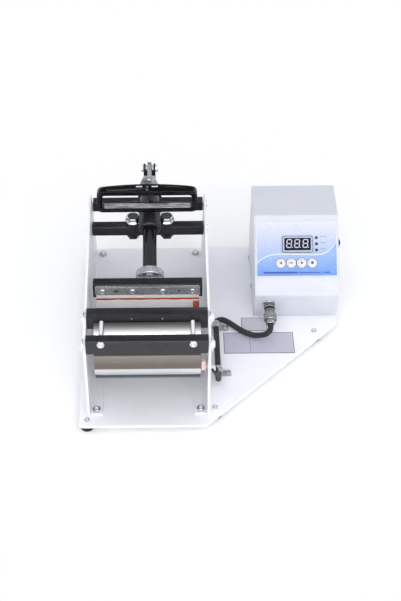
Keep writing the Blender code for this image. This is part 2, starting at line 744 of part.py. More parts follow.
def make_base():
    corners = [(-BASE_LEFT, 0), (BASE_NOSE, 0), (BASE_RIGHT, BASE_SHOULDER), (BASE_RIGHT, BASE_DEPTH),
               (-BASE_LEFT, BASE_DEPTH)]
    plate = add("base_plate", sheet([rounded(corners, BASE_CORNER_R)], BASE_THICK), press, WHITE_PAINT,
                (0, 0, -BASE_THICK / 2))
    bolt_x = HALF_WIDTH - PLATE_BOLT_IN
    bolt_front = PLATE_FRONT + PLATE_BOLT_SETBACK
    bolt_rear = PLATE_REAR - PLATE_BOLT_SETBACK
    plate_bolts = [(side * bolt_x, y) for side in (-1, 1) for y in (bolt_front, bolt_rear)]
    rear_left = (-bolt_x, bolt_rear)
    own_screw = [(FOOT_R - BASE_LEFT, FOOT_R + FOOT_EDGE)]
    own_screw += [tuple(diagonal_place(share)) for share in FOOT_DIAGONAL_SHARES]
    own_screw += [(BASE_RIGHT - FOOT_DIAGONAL_INSET, BASE_DEPTH - FOOT_REAR_INSET)]
    foot_profile = [(0, -GAP), (FOOT_R, -GAP), (FOOT_TOE_R, -FOOT_HEIGHT), (0, -FOOT_HEIGHT)]
    for name, place in zip(FOOT_NAMES, own_screw + [rear_left]):
        foot = add(name, turned(foot_profile, SCREW_SIDES), press, RUBBER, (*place, -BASE_THICK))
        bite, radius = (PLATE_NUT, PLATE_BOLT_R) if place == rear_left else (FOOT_SCREW_BITE, FOOT_SCREW_R)
        cut(foot, cutter(rod((0, 0, OVERRUN), (0, 0, -bite - 2 * GAP), radius + GAP, SHANK_SIDES), press,
                         (*place, -BASE_THICK)))
    screw = fastener(SCREW_SIDES, FOOT_SCREW_HEAD_R, FOOT_SCREW_HEAD, FOOT_SCREW_R,
                     BASE_THICK + FOOT_SCREW_BITE, SMALL_DOME_SHARE)
    weld(plate, screw, [Matrix.Translation((*place, 0)) for place in own_screw], press)
    for place in plate_bolts:
        cut(plate, cutter(rod((*place, OVERRUN), (*place, -BASE_THICK - OVERRUN), PLATE_BOLT_R + GAP,
                              SHANK_SIDES), press))
    for place in (CLIP_REAR, CLIP_FRONT):
        x, y = place[0] + CLIP_SCREW_REACH, place[1]
        cut(plate, cutter(rod((x, y, OVERRUN), (x, y, -BASE_THICK - OVERRUN), CLIP_SCREW_R + GAP, SHANK_SIDES),
                          press))
    return plate, plate_bolts, rear_left


def bar_end_places():
    """Middle of each crossbar's end, as (y, z)."""
    return {
        "front": (FRONT_BAR_Y + BAR_DEPTH / 2, FRONT_BAR_TOP - FRONT_BAR_HEIGHT / 2 - BAR_EDGE),
        "anchor": (ANCHOR_Y + BAR_DEPTH / 2, ANCHOR_TOP - ANCHOR_LUG_HEIGHT / 2),
        "lower": (LOWER_BAR_Y + CROSSBAR_DEPTH / 2, LOWER_BAR_TOP - CROSSBAR_HEIGHT / 2),
        "upper": (UPPER_BAR_Y + CROSSBAR_DEPTH / 2, UPPER_BAR_TOP - CROSSBAR_HEIGHT / 2),
    }


def make_side_plates(plate_bolts, foot_bolt):
    profile = rounded([(PLATE_FRONT, GAP), (PLATE_FRONT, PLATE_KNEE_Z), (PLATE_REAR_TOP, PLATE_REAR_TOP_Z),
                       (PLATE_REAR, GAP)], [0, PLATE_CORNER_R, PLATE_CORNER_R, 0])
    seat = GAP + PLATE_THICK
    with_nut = fastener(SCREW_SIDES, PLATE_BOLT_HEAD_R, PLATE_BOLT_HEAD, PLATE_BOLT_R,
                        seat + BASE_THICK + GAP + PLATE_NUT, PLATE_BOLT_DOME_SHARE, nut=PLATE_NUT)
    in_foot = fastener(SCREW_SIDES, PLATE_BOLT_HEAD_R, PLATE_BOLT_HEAD, PLATE_BOLT_R,
                       seat + BASE_THICK + PLATE_NUT, PLATE_BOLT_DOME_SHARE)
    plates = {}
    for side, name in ((-1, "left_side_plate"), (1, "right_side_plate")):
        wall = add(name, sheet([profile], PLATE_THICK), press, WHITE_PAINT,
                   (side * (HALF_WIDTH - PLATE_THICK / 2), 0, 0), UPRIGHT_X)
        inner, outer = sorted((side * (HALF_WIDTH - PLATE_FLANGE), side * (HALF_WIDTH - PLATE_THICK / 2)))
        flange = block((inner, PLATE_FRONT + PLATE_THICK, GAP),
                       (outer, PLATE_REAR - PLATE_THICK, GAP + PLATE_THICK))
        fuse(wall, cutter(flange, press))
        for place in plate_bolts:
            if place[0] * side > 0:
                bolt = in_foot if place == foot_bolt else with_nut
                weld(wall, bolt, [Matrix.Translation((*place, seat))], press)
        plates[side] = wall
        if side > 0:
            lead_hole = rod((INNER_HALF - OVERRUN, LEAD_HOLE_Y, LEAD_HOLE_Z),
                            (HALF_WIDTH + OVERRUN, LEAD_HOLE_Y, LEAD_HOLE_Z), LEAD_HOLE_R, ROUND_SIDES)
            cut(wall, cutter(lead_hole, press))
    return plates


def bar(name, y, top, depth, height, material):
    half = INNER_HALF - GAP
    made = add(name, block((-half, y, top - height), (half, y + depth, top)), press, material)
    return bevel(made, BAR_EDGE, 1)


def make_crossbars(plates):
    ends = bar_end_places()
    half = INNER_HALF - GAP
    front = bar("front_clamp_bar", FRONT_BAR_Y, FRONT_BAR_TOP, BAR_DEPTH, FRONT_BAR_HEIGHT, BLACK_PAINT)
    lower = bar("lower_rear_crossbar", LOWER_BAR_Y, LOWER_BAR_TOP, CROSSBAR_DEPTH, CROSSBAR_HEIGHT,
                BLACK_PAINT)
    upper = bar("upper_rear_crossbar", UPPER_BAR_Y, UPPER_BAR_TOP, CROSSBAR_DEPTH, CROSSBAR_HEIGHT,
                BLACK_PAINT)
    angle = [(ANCHOR_Y, ANCHOR_TOP - ANCHOR_HEIGHT), (ANCHOR_Y + ANCHOR_WALL, ANCHOR_TOP - ANCHOR_HEIGHT),
             (ANCHOR_Y + ANCHOR_WALL, ANCHOR_TOP - ANCHOR_WALL),
             (ANCHOR_Y + BAR_DEPTH, ANCHOR_TOP - ANCHOR_WALL),
             (ANCHOR_Y + BAR_DEPTH, ANCHOR_TOP), (ANCHOR_Y, ANCHOR_TOP)]
    anchor = add("heater_anchor_bar", sheet([angle], half * 2), press, BLACK_PAINT, (0, 0, 0), UPRIGHT_X)
    for side in (-1, 1):
        inner, outer = sorted((side * (half - ANCHOR_LUG_THICK), side * half))
        lug = block((inner, ANCHOR_Y, ANCHOR_TOP - ANCHOR_LUG_HEIGHT),
                    (outer, ANCHOR_Y + BAR_DEPTH, ANCHOR_TOP))
        fuse(anchor, cutter(lug, press))
    for made, end in ((front, "front"), (anchor, "anchor"), (lower, "lower"), (upper, "upper")):
        y, z = ends[end]
        for side in (-1, 1):
            cut(made, cutter(rod((side * (half + OVERRUN), y, z), (side * (half - END_BOLT_BITE - GAP), y, z),
                                 END_BOLT_R + GAP, SHANK_SIDES), press))
    for side in (-1, 1):
        x = side * CLAMP_SCREW_X
        cut(front, cutter(rod((x, FRONT_BAR_Y - OVERRUN, CLAMP_SCREW_Z),
                              (x, FRONT_BAR_Y + BAR_DEPTH + OVERRUN, CLAMP_SCREW_Z), CLAMP_SCREW_R + GAP,
                              SHANK_SIDES), press))
        for bar_made, (y, z), reach in ((lower, ends["lower"], CLAMP_BOLT_X),
                                        (upper, ends["upper"], REAR_BOLT_X)):
            x = CLAMP_X + side * reach
            cut(bar_made, cutter(rod((x, y, z - CROSSBAR_HEIGHT), (x, y, z + CROSSBAR_HEIGHT),
                                     CLAMP_BOLT_R + GAP, SHANK_SIDES), press))
    shank = PLATE_THICK + GAP + END_BOLT_BITE
    tapped = fastener(HEX_SIDES, END_BOLT_HEAD_R, END_BOLT_HEAD, END_BOLT_R, shank, END_DOME_SHARE,
                      END_WASHER_R, END_WASHER)
    plain = fastener(SCREW_SIDES, REAR_END_BOLT_HEAD_R, END_BOLT_HEAD, END_BOLT_R, shank, END_DOME_SHARE)
    for side, plate in plates.items():
        for mesh, end in ((tapped, "front"), (tapped, "anchor"), (plain, "lower"), (plain, "upper")):
            weld(plate, mesh, [facing((side * HALF_WIDTH, *ends[end]), (side, 0, 0))], press)
    reach = ANCHOR_Y - CLAMP_SCREW_CLEAR - FRONT_BAR_Y
    screw = fastener(SCREW_SIDES, CLAMP_SCREW_HEAD_R, CLAMP_SCREW_HEAD, CLAMP_SCREW_R, reach, SMALL_DOME_SHARE)
    for side, name in ((-1, "left_heater_clamp_screw"), (1, "right_heater_clamp_screw")):
        place = facing((side * CLAMP_SCREW_X, FRONT_BAR_Y - GAP, CLAMP_SCREW_Z), (0, -1, 0))
        add(name, screw.copy(), press, CHROME, *spot(place))


def band(radius, thickness, start, end, straight_top=None):
    """Outline of a curved strip round the mug; the rear half can run straight up to a height."""
    centre = (MUG_Y, MUG_Z)
    outer = arc(centre, radius, start, end, ARC_STEPS)
    inner = arc(centre, radius - thickness, start, end, ARC_STEPS)
    if straight_top is not None:
        outer.append(Vector((MUG_Y + radius, straight_top)))
        inner.append(Vector((MUG_Y + radius - thickness, straight_top)))
    return outer + inner[::-1]


def make_heater():
    rear_start, rear_end = SPLIT + SPLIT_GAP, 2 * pi
    layers = (("heater_shell", SHELL_R, SHELL_THICK, SHELL_START, STRIP_HIGH, STEEL),
              ("heater_mat", MAT_R, MAT_THICK, MAT_START, MAT_REAR_TOP, RED_SILICONE),
              ("heater_liner", LINER_R, LINER_THICK, MAT_START, MAT_REAR_TOP, LINER_CLOTH))
    for name, radius, thickness, start, top, material in layers:
        front = sheet([band(radius, thickness, start, SPLIT - SPLIT_GAP)], WRAP_WIDTH)
        smooth(add(name + "_front", front, press, material, (0, 0, 0), UPRIGHT_X))
        rear = sheet([band(radius, thickness, rear_start, rear_end, top)], WRAP_WIDTH)
        made = smooth(add(name + "_rear", rear, press, material, (0, 0, 0), UPRIGHT_X))
        if name == "heater_shell":
            cut(made, *strip_drills(STRIP_SCREW_R + GAP))
    front_y = MUG_Y + LINER_R - LINER_THICK - GAP - SENSOR_THICK
    sensor = block((WRAP_WIDTH / 2 - SENSOR_WIDTH, front_y, SENSOR_LOW),
                   (WRAP_WIDTH / 2, front_y + SENSOR_THICK, SENSOR_HIGH))
    bevel(add("temperature_sensor_pad", sensor, press, RED_SILICONE), BAR_EDGE, 1)
    tab_y = MUG_Y - sqrt(MAT_R ** 2 - (LEAD_TAB_HIGH - MUG_Z) ** 2)
    tab = block((WRAP_WIDTH / 2 + GAP, tab_y, LEAD_TAB_LOW),
                (WRAP_WIDTH / 2 + LEAD_TAB_LENGTH, tab_y + LEAD_TAB_DEPTH, LEAD_TAB_HIGH))
    bevel(add("heater_lead_tab", tab, press, RED_SILICONE), BAR_EDGE, 1)
    return tab_y + LEAD_TAB_DEPTH / 2


def strip_drills(radius):
    z = (STRIP_LOW + STRIP_HIGH) / 2
    return [cutter(rod((share * STRIP_WIDTH, JAW_FRONT - STRIP_THICK - OVERRUN, z),
                       (share * STRIP_WIDTH, JAW_FRONT + JAW_DEPTH - OVERRUN, z), radius, SHANK_SIDES), press)
            for share in STRIP_SCREW_SHARES]


def make_jaw():
    jaw = add("jaw_bar", block((-JAW_WIDTH / 2, JAW_FRONT, JAW_TOP - JAW_HEIGHT),
                               (JAW_WIDTH / 2, JAW_FRONT + JAW_DEPTH, JAW_TOP)), press, BLACK_PAINT)
    bevel(jaw, BAR_EDGE, 1)
    cut(jaw, *strip_drills(STRIP_SCREW_R + GAP))
    strip_back = MUG_Y + SHELL_R - SHELL_THICK - GAP
    middle_z = (STRIP_LOW + STRIP_HIGH) / 2
    strip = add("jaw_clamp_strip", block((-STRIP_WIDTH / 2, strip_back - STRIP_THICK, STRIP_LOW),
                                         (STRIP_WIDTH / 2, strip_back, STRIP_HIGH)), press, ZINC)
    for side in (-1, 1):
        x = side * STRIP_HOLE_SHARE * STRIP_WIDTH
        cut(strip, cutter(rod((x, strip_back - STRIP_THICK - OVERRUN, middle_z),
                              (x, strip_back + GAP, middle_z), STRIP_HOLE_R, SHANK_SIDES), press))
    bite = JAW_DEPTH - 2 * OVERRUN + STRIP_THICK
    screw = fastener(SCREW_SIDES, STRIP_SCREW_HEAD_R, STRIP_SCREW_HEAD, STRIP_SCREW_R, bite, SMALL_DOME_SHARE)
    weld(strip, screw, [facing((share * STRIP_WIDTH, strip_back - STRIP_THICK, middle_z), (0, -1, 0))
                        for share in STRIP_SCREW_SHARES], press)
    back = JAW_FRONT + JAW_DEPTH + GAP
    axis_z = CLAMP_AXIS_Z + (back - MUG_Y) * sin(CLAMP_TILT) / cos(CLAMP_TILT)
    half = SOCKET_PLATE_WIDTH / 2
    socket = add("jaw_socket", block((CLAMP_X - half, back, JAW_TOP - JAW_HEIGHT + BAR_EDGE),
                                     (CLAMP_X + half, back + SOCKET_PLATE_THICK, JAW_TOP - BAR_EDGE)),
                 press, ZINC)
    boss_end = NUT_FRONT - NUT_HUB - GAP
    boss_start = (back + SOCKET_PLATE_THICK / 2 - MUG_Y) / cos(CLAMP_TILT)
    fuse(socket, cutter(rod((0, boss_start, 0), (0, boss_end, 0), SOCKET_BOSS_R), clamp))
    cut(socket, cutter(rod((0, STUD_SEAT, 0), (0, boss_end + OVERRUN, 0), STUD_R + GAP, BARREL_SIDES), clamp))
    screw_z = axis_z + SOCKET_SCREW_DROP
    places = []
    for side in (-1, 1):
        x = CLAMP_X + side * SOCKET_SCREW_X
        cut(jaw, cutter(rod((x, back - OVERRUN * 2, screw_z), (x, back + OVERRUN, screw_z),
                            STRIP_SCREW_R + GAP, SHANK_SIDES), press))
        places.append(facing((x, back + SOCKET_PLATE_THICK, screw_z), (0, 1, 0)))
    cap_screw = fastener(SCREW_SIDES, SOCKET_SCREW_HEAD_R, SOCKET_SCREW_HEAD, STRIP_SCREW_R,
                         SOCKET_PLATE_THICK + OVERRUN, SMALL_DOME_SHARE)
    weld(socket, cap_screw, places, press)


def make_plunger():
    ring = arc((0, 0), NUT_R, 0, 2 * pi * (1 - 1 / (2 * NUT_KNURLS)), 2 * NUT_KNURLS - 1)
    knurled = [point * (1 if i % 2 else 1 - NUT_KNURL / NUT_R) for i, point in enumerate(ring)]
    nut = add("pressure_nut", sheet([knurled], NUT_THICK), clamp, ZINC,
              (0, NUT_FRONT + NUT_THICK / 2, 0), UPRIGHT_Y)
    hub = rod((0, NUT_FRONT - NUT_HUB, 0), (0, NUT_FRONT + NUT_THICK / 2, 0), NUT_HUB_R, ROUND_SIDES)
    fuse(nut, cutter(hub, clamp))
    cut(nut, cutter(rod((0, NUT_FRONT - OVERRUN, 0), (0, NUT_FRONT + NUT_THICK + OVERRUN, 0), STUD_R + GAP,
                        BARREL_SIDES), clamp))
    tube_front = NUT_FRONT + NUT_THICK + GAP
    tube_rear = HOUSING_FRONT + TUBE_GUIDED
    profile = [(0, LINK_REACH - TANG_HEIGHT), (ROD_R, LINK_REACH - TANG_HEIGHT), (ROD_R, tube_rear),
               (TUBE_R, tube_rear), (TUBE_R, tube_front + BAR_EDGE),
               (TUBE_R - BAR_EDGE, tube_front), (STUD_R, tube_front), (STUD_R, STUD_SEAT + GAP),
               (0, STUD_SEAT + GAP)]
    plunger = add("plunger_tube", turned(profile, BARREL_SIDES), clamp, BLACK_PAINT, (0, 0, 0),
                  Euler((-pi / 2, 0, 0)))
    smooth(plunger)
    tang = sheet([stadium((LINK_REACH - TANG_HEIGHT * TANG_RUN_SHARE, 0), TANG_HEIGHT / 2, (LINK_REACH, 0),
                          TANG_HEIGHT / 2)], TANG_THICK)
    pin = rod((-LINK_OUTER, LINK_REACH, 0), (LINK_OUTER, LINK_REACH, 0), LINK_PIN_R, SCREW_SIDES)
    fuse(plunger, cutter(tang, clamp, (0, 0, 0), UPRIGHT_X), cutter(pin, clamp))
    for side, name in ((-1, "left_toggle_link"), (1, "right_toggle_link")):
        outline = stadium((0, 0), LINK_R, (LINK_LENGTH, 0), LINK_R)
        hole = arc((0, 0), LINK_PIN_R + GAP, 0, 2 * pi * (1 - 1 / SCREW_SIDES), SCREW_SIDES - 1)
        link = add(name, sheet([outline, hole], LINK_THICK), link_pivot, BLACK_PAINT,
                   (side * (LINK_INNER + LINK_THICK / 2), 0, 0), UPRIGHT_X)
        head = rod((side * (LINK_OUTER - LINK_THICK / 2), LINK_LENGTH, 0),
                   (side * (LINK_OUTER + CRANK_HEAD), LINK_LENGTH, 0), CRANK_HEAD_R, SCREW_SIDES)
        fuse(link, cutter(head, link_pivot))


def stadium(start, start_r, end, end_r):
    """Outline round two circles of which the second may be smaller."""
    start, end = Vector(start), Vector(end)
    along = end - start
    heading = atan2(along.y, along.x)
    lean = acos(max(-1.0, min(1.0, (start_r - end_r) / along.length)))
    first = arc(start, start_r, heading + lean, heading + 2 * pi - lean, SCREW_SIDES)
    second = arc(end, end_r, heading - lean, heading + lean, SCREW_SIDES)
    return first + second


def make_clamp_housing():
    barrel_end = PIVOT_REACH - BARREL_END
    profile = [(0, barrel_end + OVERRUN), (BARREL_REAR_R, barrel_end + OVERRUN),
               (BARREL_R, HOUSING_FRONT + BARREL_R), (BARREL_R, HOUSING_FRONT + BARREL_LIP),
               (BARREL_R - BARREL_LIP, HOUSING_FRONT), (0, HOUSING_FRONT)]
    housing = add("clamp_housing", turned(profile, BARREL_SIDES), clamp, BLACK_PAINT, (0, 0, 0),
                  Euler((-pi / 2, 0, 0)))
    pivot = PIVOT_REACH
    wall = [(barrel_end - OVERRUN, -TROUGH_DEPTH), (barrel_end - OVERRUN, CHEEK_RISE),
            (pivot - CHEEK_DIP_START, CHEEK_RISE), (pivot - CHEEK_DIP_FULL, -CHEEK_DIP),
            (pivot - EAR_R, -CHEEK_DIP)]
    wall += [tuple(point) for point in arc((pivot, 0), EAR_R, pi, 0, SCREW_SIDES)]
    wall += [(pivot + EAR_R, -CHEEK_DIP), (pivot + EAR_BACK, -TROUGH_FLOOR),
             (pivot + EAR_BACK, -TROUGH_DEPTH)]
    fuse(housing, cutter(sheet([wall], CHEEK_OUTER * 2), clamp, (0, 0, 0), UPRIGHT_X))
    half = CLAMP_FOOT_DEPTH / 2
    lower_mid, upper_mid = LOWER_BAR_Y + CROSSBAR_DEPTH / 2, UPPER_BAR_Y + CROSSBAR_DEPTH / 2
    for middle, top, reach in ((lower_mid, LOWER_BAR_TOP, CLAMP_FOOT_REACH),
                               (upper_mid, UPPER_BAR_TOP, REAR_FOOT_REACH)):
        pad = rounded([(-reach, -half), (reach, -half), (reach, half), (-reach, half)], CLAMP_FOOT_R)
        fuse(housing, cutter(sheet([pad], CLAMP_FOOT_THICK), press,
                             (CLAMP_X, middle, top + GAP + CLAMP_FOOT_THICK / 2)))
    bore = rod((0, HOUSING_FRONT - OVERRUN, 0), (0, barrel_end, 0), TUBE_R + GAP, BARREL_SIDES)
    channel = block((-CHANNEL_HALF, barrel_end - GAP, -TROUGH_FLOOR),
                    (CHANNEL_HALF, pivot + EAR_BACK + OVERRUN, EAR_R + BARREL_R))
    hole = rod((-CHEEK_OUTER - OVERRUN, pivot, 0), (CHEEK_OUTER + OVERRUN, pivot, 0), PIVOT_R + GAP,
               SCREW_SIDES)
    cut(housing, cutter(bore, clamp), cutter(channel, clamp), cutter(hole, clamp))
    smooth(housing)
    bolt = fastener(HEX_SIDES, CLAMP_BOLT_HEAD_R, CLAMP_BOLT_HEAD, CLAMP_BOLT_R,
                    CLAMP_FOOT_THICK + CROSSBAR_HEIGHT + CLAMP_NUT + 3 * GAP, CLAMP_DOME_SHARE, CLAMP_WASHER_R,
                    CLAMP_WASHER, CLAMP_NUT)
    screw = fastener(HEX_SIDES, CLAMP_BOLT_HEAD_R, CLAMP_BOLT_HEAD, CLAMP_BOLT_R,
                     CROSSBAR_HEIGHT + 2 * GAP + REAR_BOLT_BITE, CLAMP_DOME_SHARE, CLAMP_WASHER_R, CLAMP_WASHER)
    for side, hand in ((-1, "left"), (1, "right")):
        x, top = CLAMP_X + side * CLAMP_BOLT_X, LOWER_BAR_TOP + CLAMP_FOOT_THICK
        cut(housing, cutter(rod((x, lower_mid, LOWER_BAR_TOP - OVERRUN), (x, lower_mid, top + OVERRUN),
                                CLAMP_BOLT_R + GAP, SHANK_SIDES), press))
        add(f"front_{hand}_clamp_bolt", bolt.copy(), press, CHROME, (x, lower_mid, top + 2 * GAP))
        x, under = CLAMP_X + side * REAR_BOLT_X, UPPER_BAR_TOP - CROSSBAR_HEIGHT - GAP
        cut(housing, cutter(rod((x, upper_mid, UPPER_BAR_TOP - OVERRUN),
                                (x, upper_mid, UPPER_BAR_TOP + REAR_BOLT_BITE + 2 * GAP), CLAMP_BOLT_R + GAP,
                                SHANK_SIDES), press))
        add(f"rear_{hand}_clamp_bolt", screw.copy(), press, CHROME,
            *spot(facing((x, upper_mid, under), (0, 0, -1))))


def make_lever():
    crank = (-CRANK * cos(CLAMP_TILT), -CRANK * sin(CLAMP_TILT))
    neck = (FLARE_Y - FLARE_REAR_WIDTH / 2 - PIVOT_Y, TONGUE_Z - PIVOT_Z)
    lower = stadium((0, 0), LEVER_HEEL_R, crank, LEVER_CRANK_R)
    upper = stadium(crank, LEVER_CRANK_R - BAR_EDGE, neck, LEVER_NECK_R)
    lever = add("toggle_lever", sheet([lower], LEVER_THICK), lever_pivot, ZINC, (0, 0, 0), UPRIGHT_X)
    arm = sheet([upper], LEVER_ARM_THICK)
    fuse(lever, cutter(arm, lever_pivot, (0, 0, 0), UPRIGHT_X))
    grip_back = GRIP_FRONT + GRIP_DEPTH
    shoulder = grip_back + GAP + BAR_EDGE
    tongue_left, tongue_right = -TONGUE_WIDTH / 2 - CLAMP_X, TONGUE_WIDTH / 2 - CLAMP_X
    flare = [(-FLARE_REAR_WIDTH / 2, FLARE_Y), (FLARE_REAR_WIDTH / 2, FLARE_Y), (FLARE_WIDTH / 2, shoulder),
             (tongue_right, grip_back + GAP), (tongue_right, grip_back - TONGUE_LENGTH),
             (tongue_left, grip_back - TONGUE_LENGTH), (tongue_left, grip_back + GAP),
             (-FLARE_WIDTH / 2, shoulder)]
    fuse(lever, cutter(sheet([flare], FLARE_THICK), lever_pivot, (0, -PIVOT_Y, TONGUE_Z - PIVOT_Z)))
    cut(lever, cutter(rod((-LEVER_THICK, 0, 0), (LEVER_THICK, 0, 0), PIVOT_R + GAP, SCREW_SIDES), lever_pivot))
    make_grip(lever)
    bolt = fastener(HEX_SIDES, PIVOT_HEAD_R, PIVOT_HEAD, PIVOT_R, 2 * (CHEEK_OUTER + GAP) + PIVOT_HEAD,
                    CLAMP_DOME_SHARE, nut=PIVOT_HEAD)
    place = facing((CHEEK_OUTER + GAP, PIVOT_REACH, 0), (1, 0, 0))
    bolt_made = add("lever_pivot_bolt", bolt, clamp, CHROME, *spot(place))
    half = LEVER_THICK / 2
    for side in (-1, 1):
        washer = rod((side * (half + GAP), PIVOT_REACH, 0), (side * (CHANNEL_HALF - GAP), PIVOT_REACH, 0),
                     PIVOT_WASHER_R, SCREW_SIDES)
        fuse(bolt_made, cutter(washer, clamp))


def make_grip(lever):
    half, low = GRIP_WIDTH / 2, GRIP_TOP - GRIP_HEIGHT
    ring = rounded([(-half, low), (half, low), (half, GRIP_TOP), (-half, GRIP_TOP)], GRIP_CORNER_R)
    inside = half - GRIP_SIDE_BAR
    hole = rounded([(-inside, low + GRIP_LOW_BAR), (inside, low + GRIP_LOW_BAR),
                    (inside, GRIP_TOP - GRIP_TOP_BAR), (-inside, GRIP_TOP - GRIP_TOP_BAR)], GRIP_HOLE_R)
    to_pivot = Vector((-CLAMP_X, -PIVOT_Y, -PIVOT_Z))
    middle = Vector((0, GRIP_FRONT + GRIP_DEPTH / 2, 0))
    grip = add("loop_grip", sheet([ring, hole], GRIP_DEPTH), lever_pivot, BLACK_PLASTIC, to_pivot + middle,
               UPRIGHT_Y)
    rise = GRIP_DEPTH - GRIP_END_DEPTH
    bow_r = (half ** 2 + rise ** 2) / (2 * rise)
    bow_centre = GRIP_FRONT + GRIP_DEPTH - bow_r
    spread = asin(half / bow_r)
    bow = arc((0, bow_centre), bow_r, pi / 2 + spread, pi / 2 - spread, BOW_STEPS)
    behind = [Vector((half + OVERRUN, bow[-1].y)), Vector((half + OVERRUN, GRIP_FRONT + GRIP_DEPTH + OVERRUN)),
              Vector((-half - OVERRUN, GRIP_FRONT + GRIP_DEPTH + OVERRUN)), Vector((-half - OVERRUN, bow[0].y))]
    cut(grip, cutter(sheet([bow + behind], GRIP_HEIGHT + OVERRUN), lever_pivot,
                     to_pivot + Vector((0, 0, GRIP_TOP - GRIP_HEIGHT / 2))))
    bevel(grip, GRIP_EDGE, 1, radians(50))
    deep = GRIP_TOP - GRIP_RECESS
    inner_r = bow_r - GRIP_RECESS_RIM
    inner_spread = asin(GRIP_RECESS_HALF / inner_r)
    pocket = arc((0, bow_centre), inner_r, pi / 2 + inner_spread, pi / 2 - inner_spread, BOW_STEPS)
    pocket += [Vector((GRIP_RECESS_HALF, GRIP_FRONT + GRIP_RECESS_RIM)),
               Vector((-GRIP_RECESS_HALF, GRIP_FRONT + GRIP_RECESS_RIM))]
    cut(grip, cutter(sheet([pocket], GRIP_RECESS + OVERRUN), lever_pivot,
                     to_pivot + Vector((0, 0, deep + (GRIP_RECESS + OVERRUN) / 2))))
    slot_y = GRIP_FRONT + GRIP_SLOT_SETBACK
    for side in (-1, 1):
        inner, outer = sorted((side * GRIP_SLOT_INNER, side * GRIP_SLOT_OUTER))
        slot = block((inner, slot_y - GRIP_SLOT_DEPTH / 2, GRIP_TOP - GRIP_TOP_BAR - OVERRUN),
                     (outer, slot_y + GRIP_SLOT_DEPTH / 2, GRIP_TOP + OVERRUN))
        cut(grip, cutter(slot, lever_pivot, to_pivot))
    back = GRIP_FRONT + GRIP_DEPTH
    pouch = block((-TONGUE_WIDTH / 2 - GAP, back - TONGUE_LENGTH - GAP, TONGUE_Z - FLARE_THICK / 2 - GAP),
                  (TONGUE_WIDTH / 2 + GAP, back + OVERRUN, TONGUE_Z + FLARE_THICK / 2 + GAP))
    cut(grip, cutter(pouch, lever_pivot, to_pivot))
    screw = fastener(SCREW_SIDES, GRIP_SCREW_HEAD_R, GRIP_SCREW_HEAD, GRIP_SCREW_R,
                     deep - TONGUE_Z + FLARE_THICK / 2 - GAP, SMALL_DOME_SHARE)
    places = []
    for i in range(2):
        y = GRIP_FRONT + GRIP_SCREW_SETBACK + i * GRIP_SCREW_SPACING
        drill = cutter(rod((0, y, TONGUE_Z - FLARE_THICK), (0, y, TONGUE_Z + FLARE_THICK), GRIP_SCREW_R + GAP,
                           SHANK_SIDES), lever_pivot, to_pivot)
        cut(lever, drill)
        places.append(Matrix.Translation(to_pivot + Vector((0, y, deep))))
    weld(grip, screw, places, lever_pivot)


def inset(corners, distance):
    """A convex outline moved inwards by one wall thickness."""
    middle = sum((Vector(c) for c in corners), Vector((0, 0))) / len(corners)
    lines = []
    for a, b in zip(corners, corners[1:] + corners[:1]):
        a, b = Vector(a), Vector(b)
        normal = Vector((a.y - b.y, b.x - a.x)).normalized()
        if normal.dot(middle - a) < 0:
            normal = -normal
        lines.append((a + normal * distance, b - a))
    points = []
    for (p, u), (q, v) in zip([lines[-1]] + lines[:-1], lines):
        share = (q - p).cross(v) / u.cross(v)
        points.append(p + u * share)
    return points


def box_profile():
    return [(BOX_FOOT_Y, GAP), (BOX_LOW_BEND_Y, BOX_LOW_BEND_Z), (BOX_TOP_BEND_Y, BOX_TOP_Z),
            (BOX_REAR, BOX_TOP_Z), (BOX_REAR, GAP)]


def make_control_box(base):
    width = BOX_RIGHT - BOX_LEFT
    middle = (BOX_LEFT + BOX_RIGHT) / 2
    bends = [0, BOX_BEND_R, BOX_BEND_R, 0, 0]
    cover = add("control_box_cover", sheet([rounded(box_profile(), bends)], width), press, WHITE_PAINT,
                (middle, 0, 0), UPRIGHT_X)
    hollow = inset(box_profile(), BOX_WALL)
    foot_run = (hollow[0] - hollow[1]).normalized() * OVERRUN * 2
    hollow[0] = hollow[0] + foot_run
    hollow[3] = hollow[3] + Vector((OVERRUN * 2, 0))
    hollow[4] = Vector((hollow[3].x, hollow[0].y))
    inner_bends = [0, BOX_BEND_R - BOX_WALL, BOX_BEND_R - BOX_WALL, 0, 0]
    cut(cover, cutter(sheet([rounded(hollow, inner_bends)], width - 2 * BOX_WALL), press, (middle, 0, 0),
                      UPRIGHT_X))
    back_in = BOX_WALL + GAP
    back = block((BOX_LEFT + back_in, BOX_REAR - BOX_WALL, GAP),
                 (BOX_RIGHT - back_in, BOX_REAR, BOX_TOP_Z - back_in))
    back_plate = add("control_box_back", back, press, WHITE_PAINT)
    make_box_tabs(cover, base)
    make_front_panel(cover)
    make_switch(cover)
    make_rear_fittings(back_plate)
    make_box_inside()
    socket_y, socket_z = make_connector(cover)
    return socket_y, socket_z


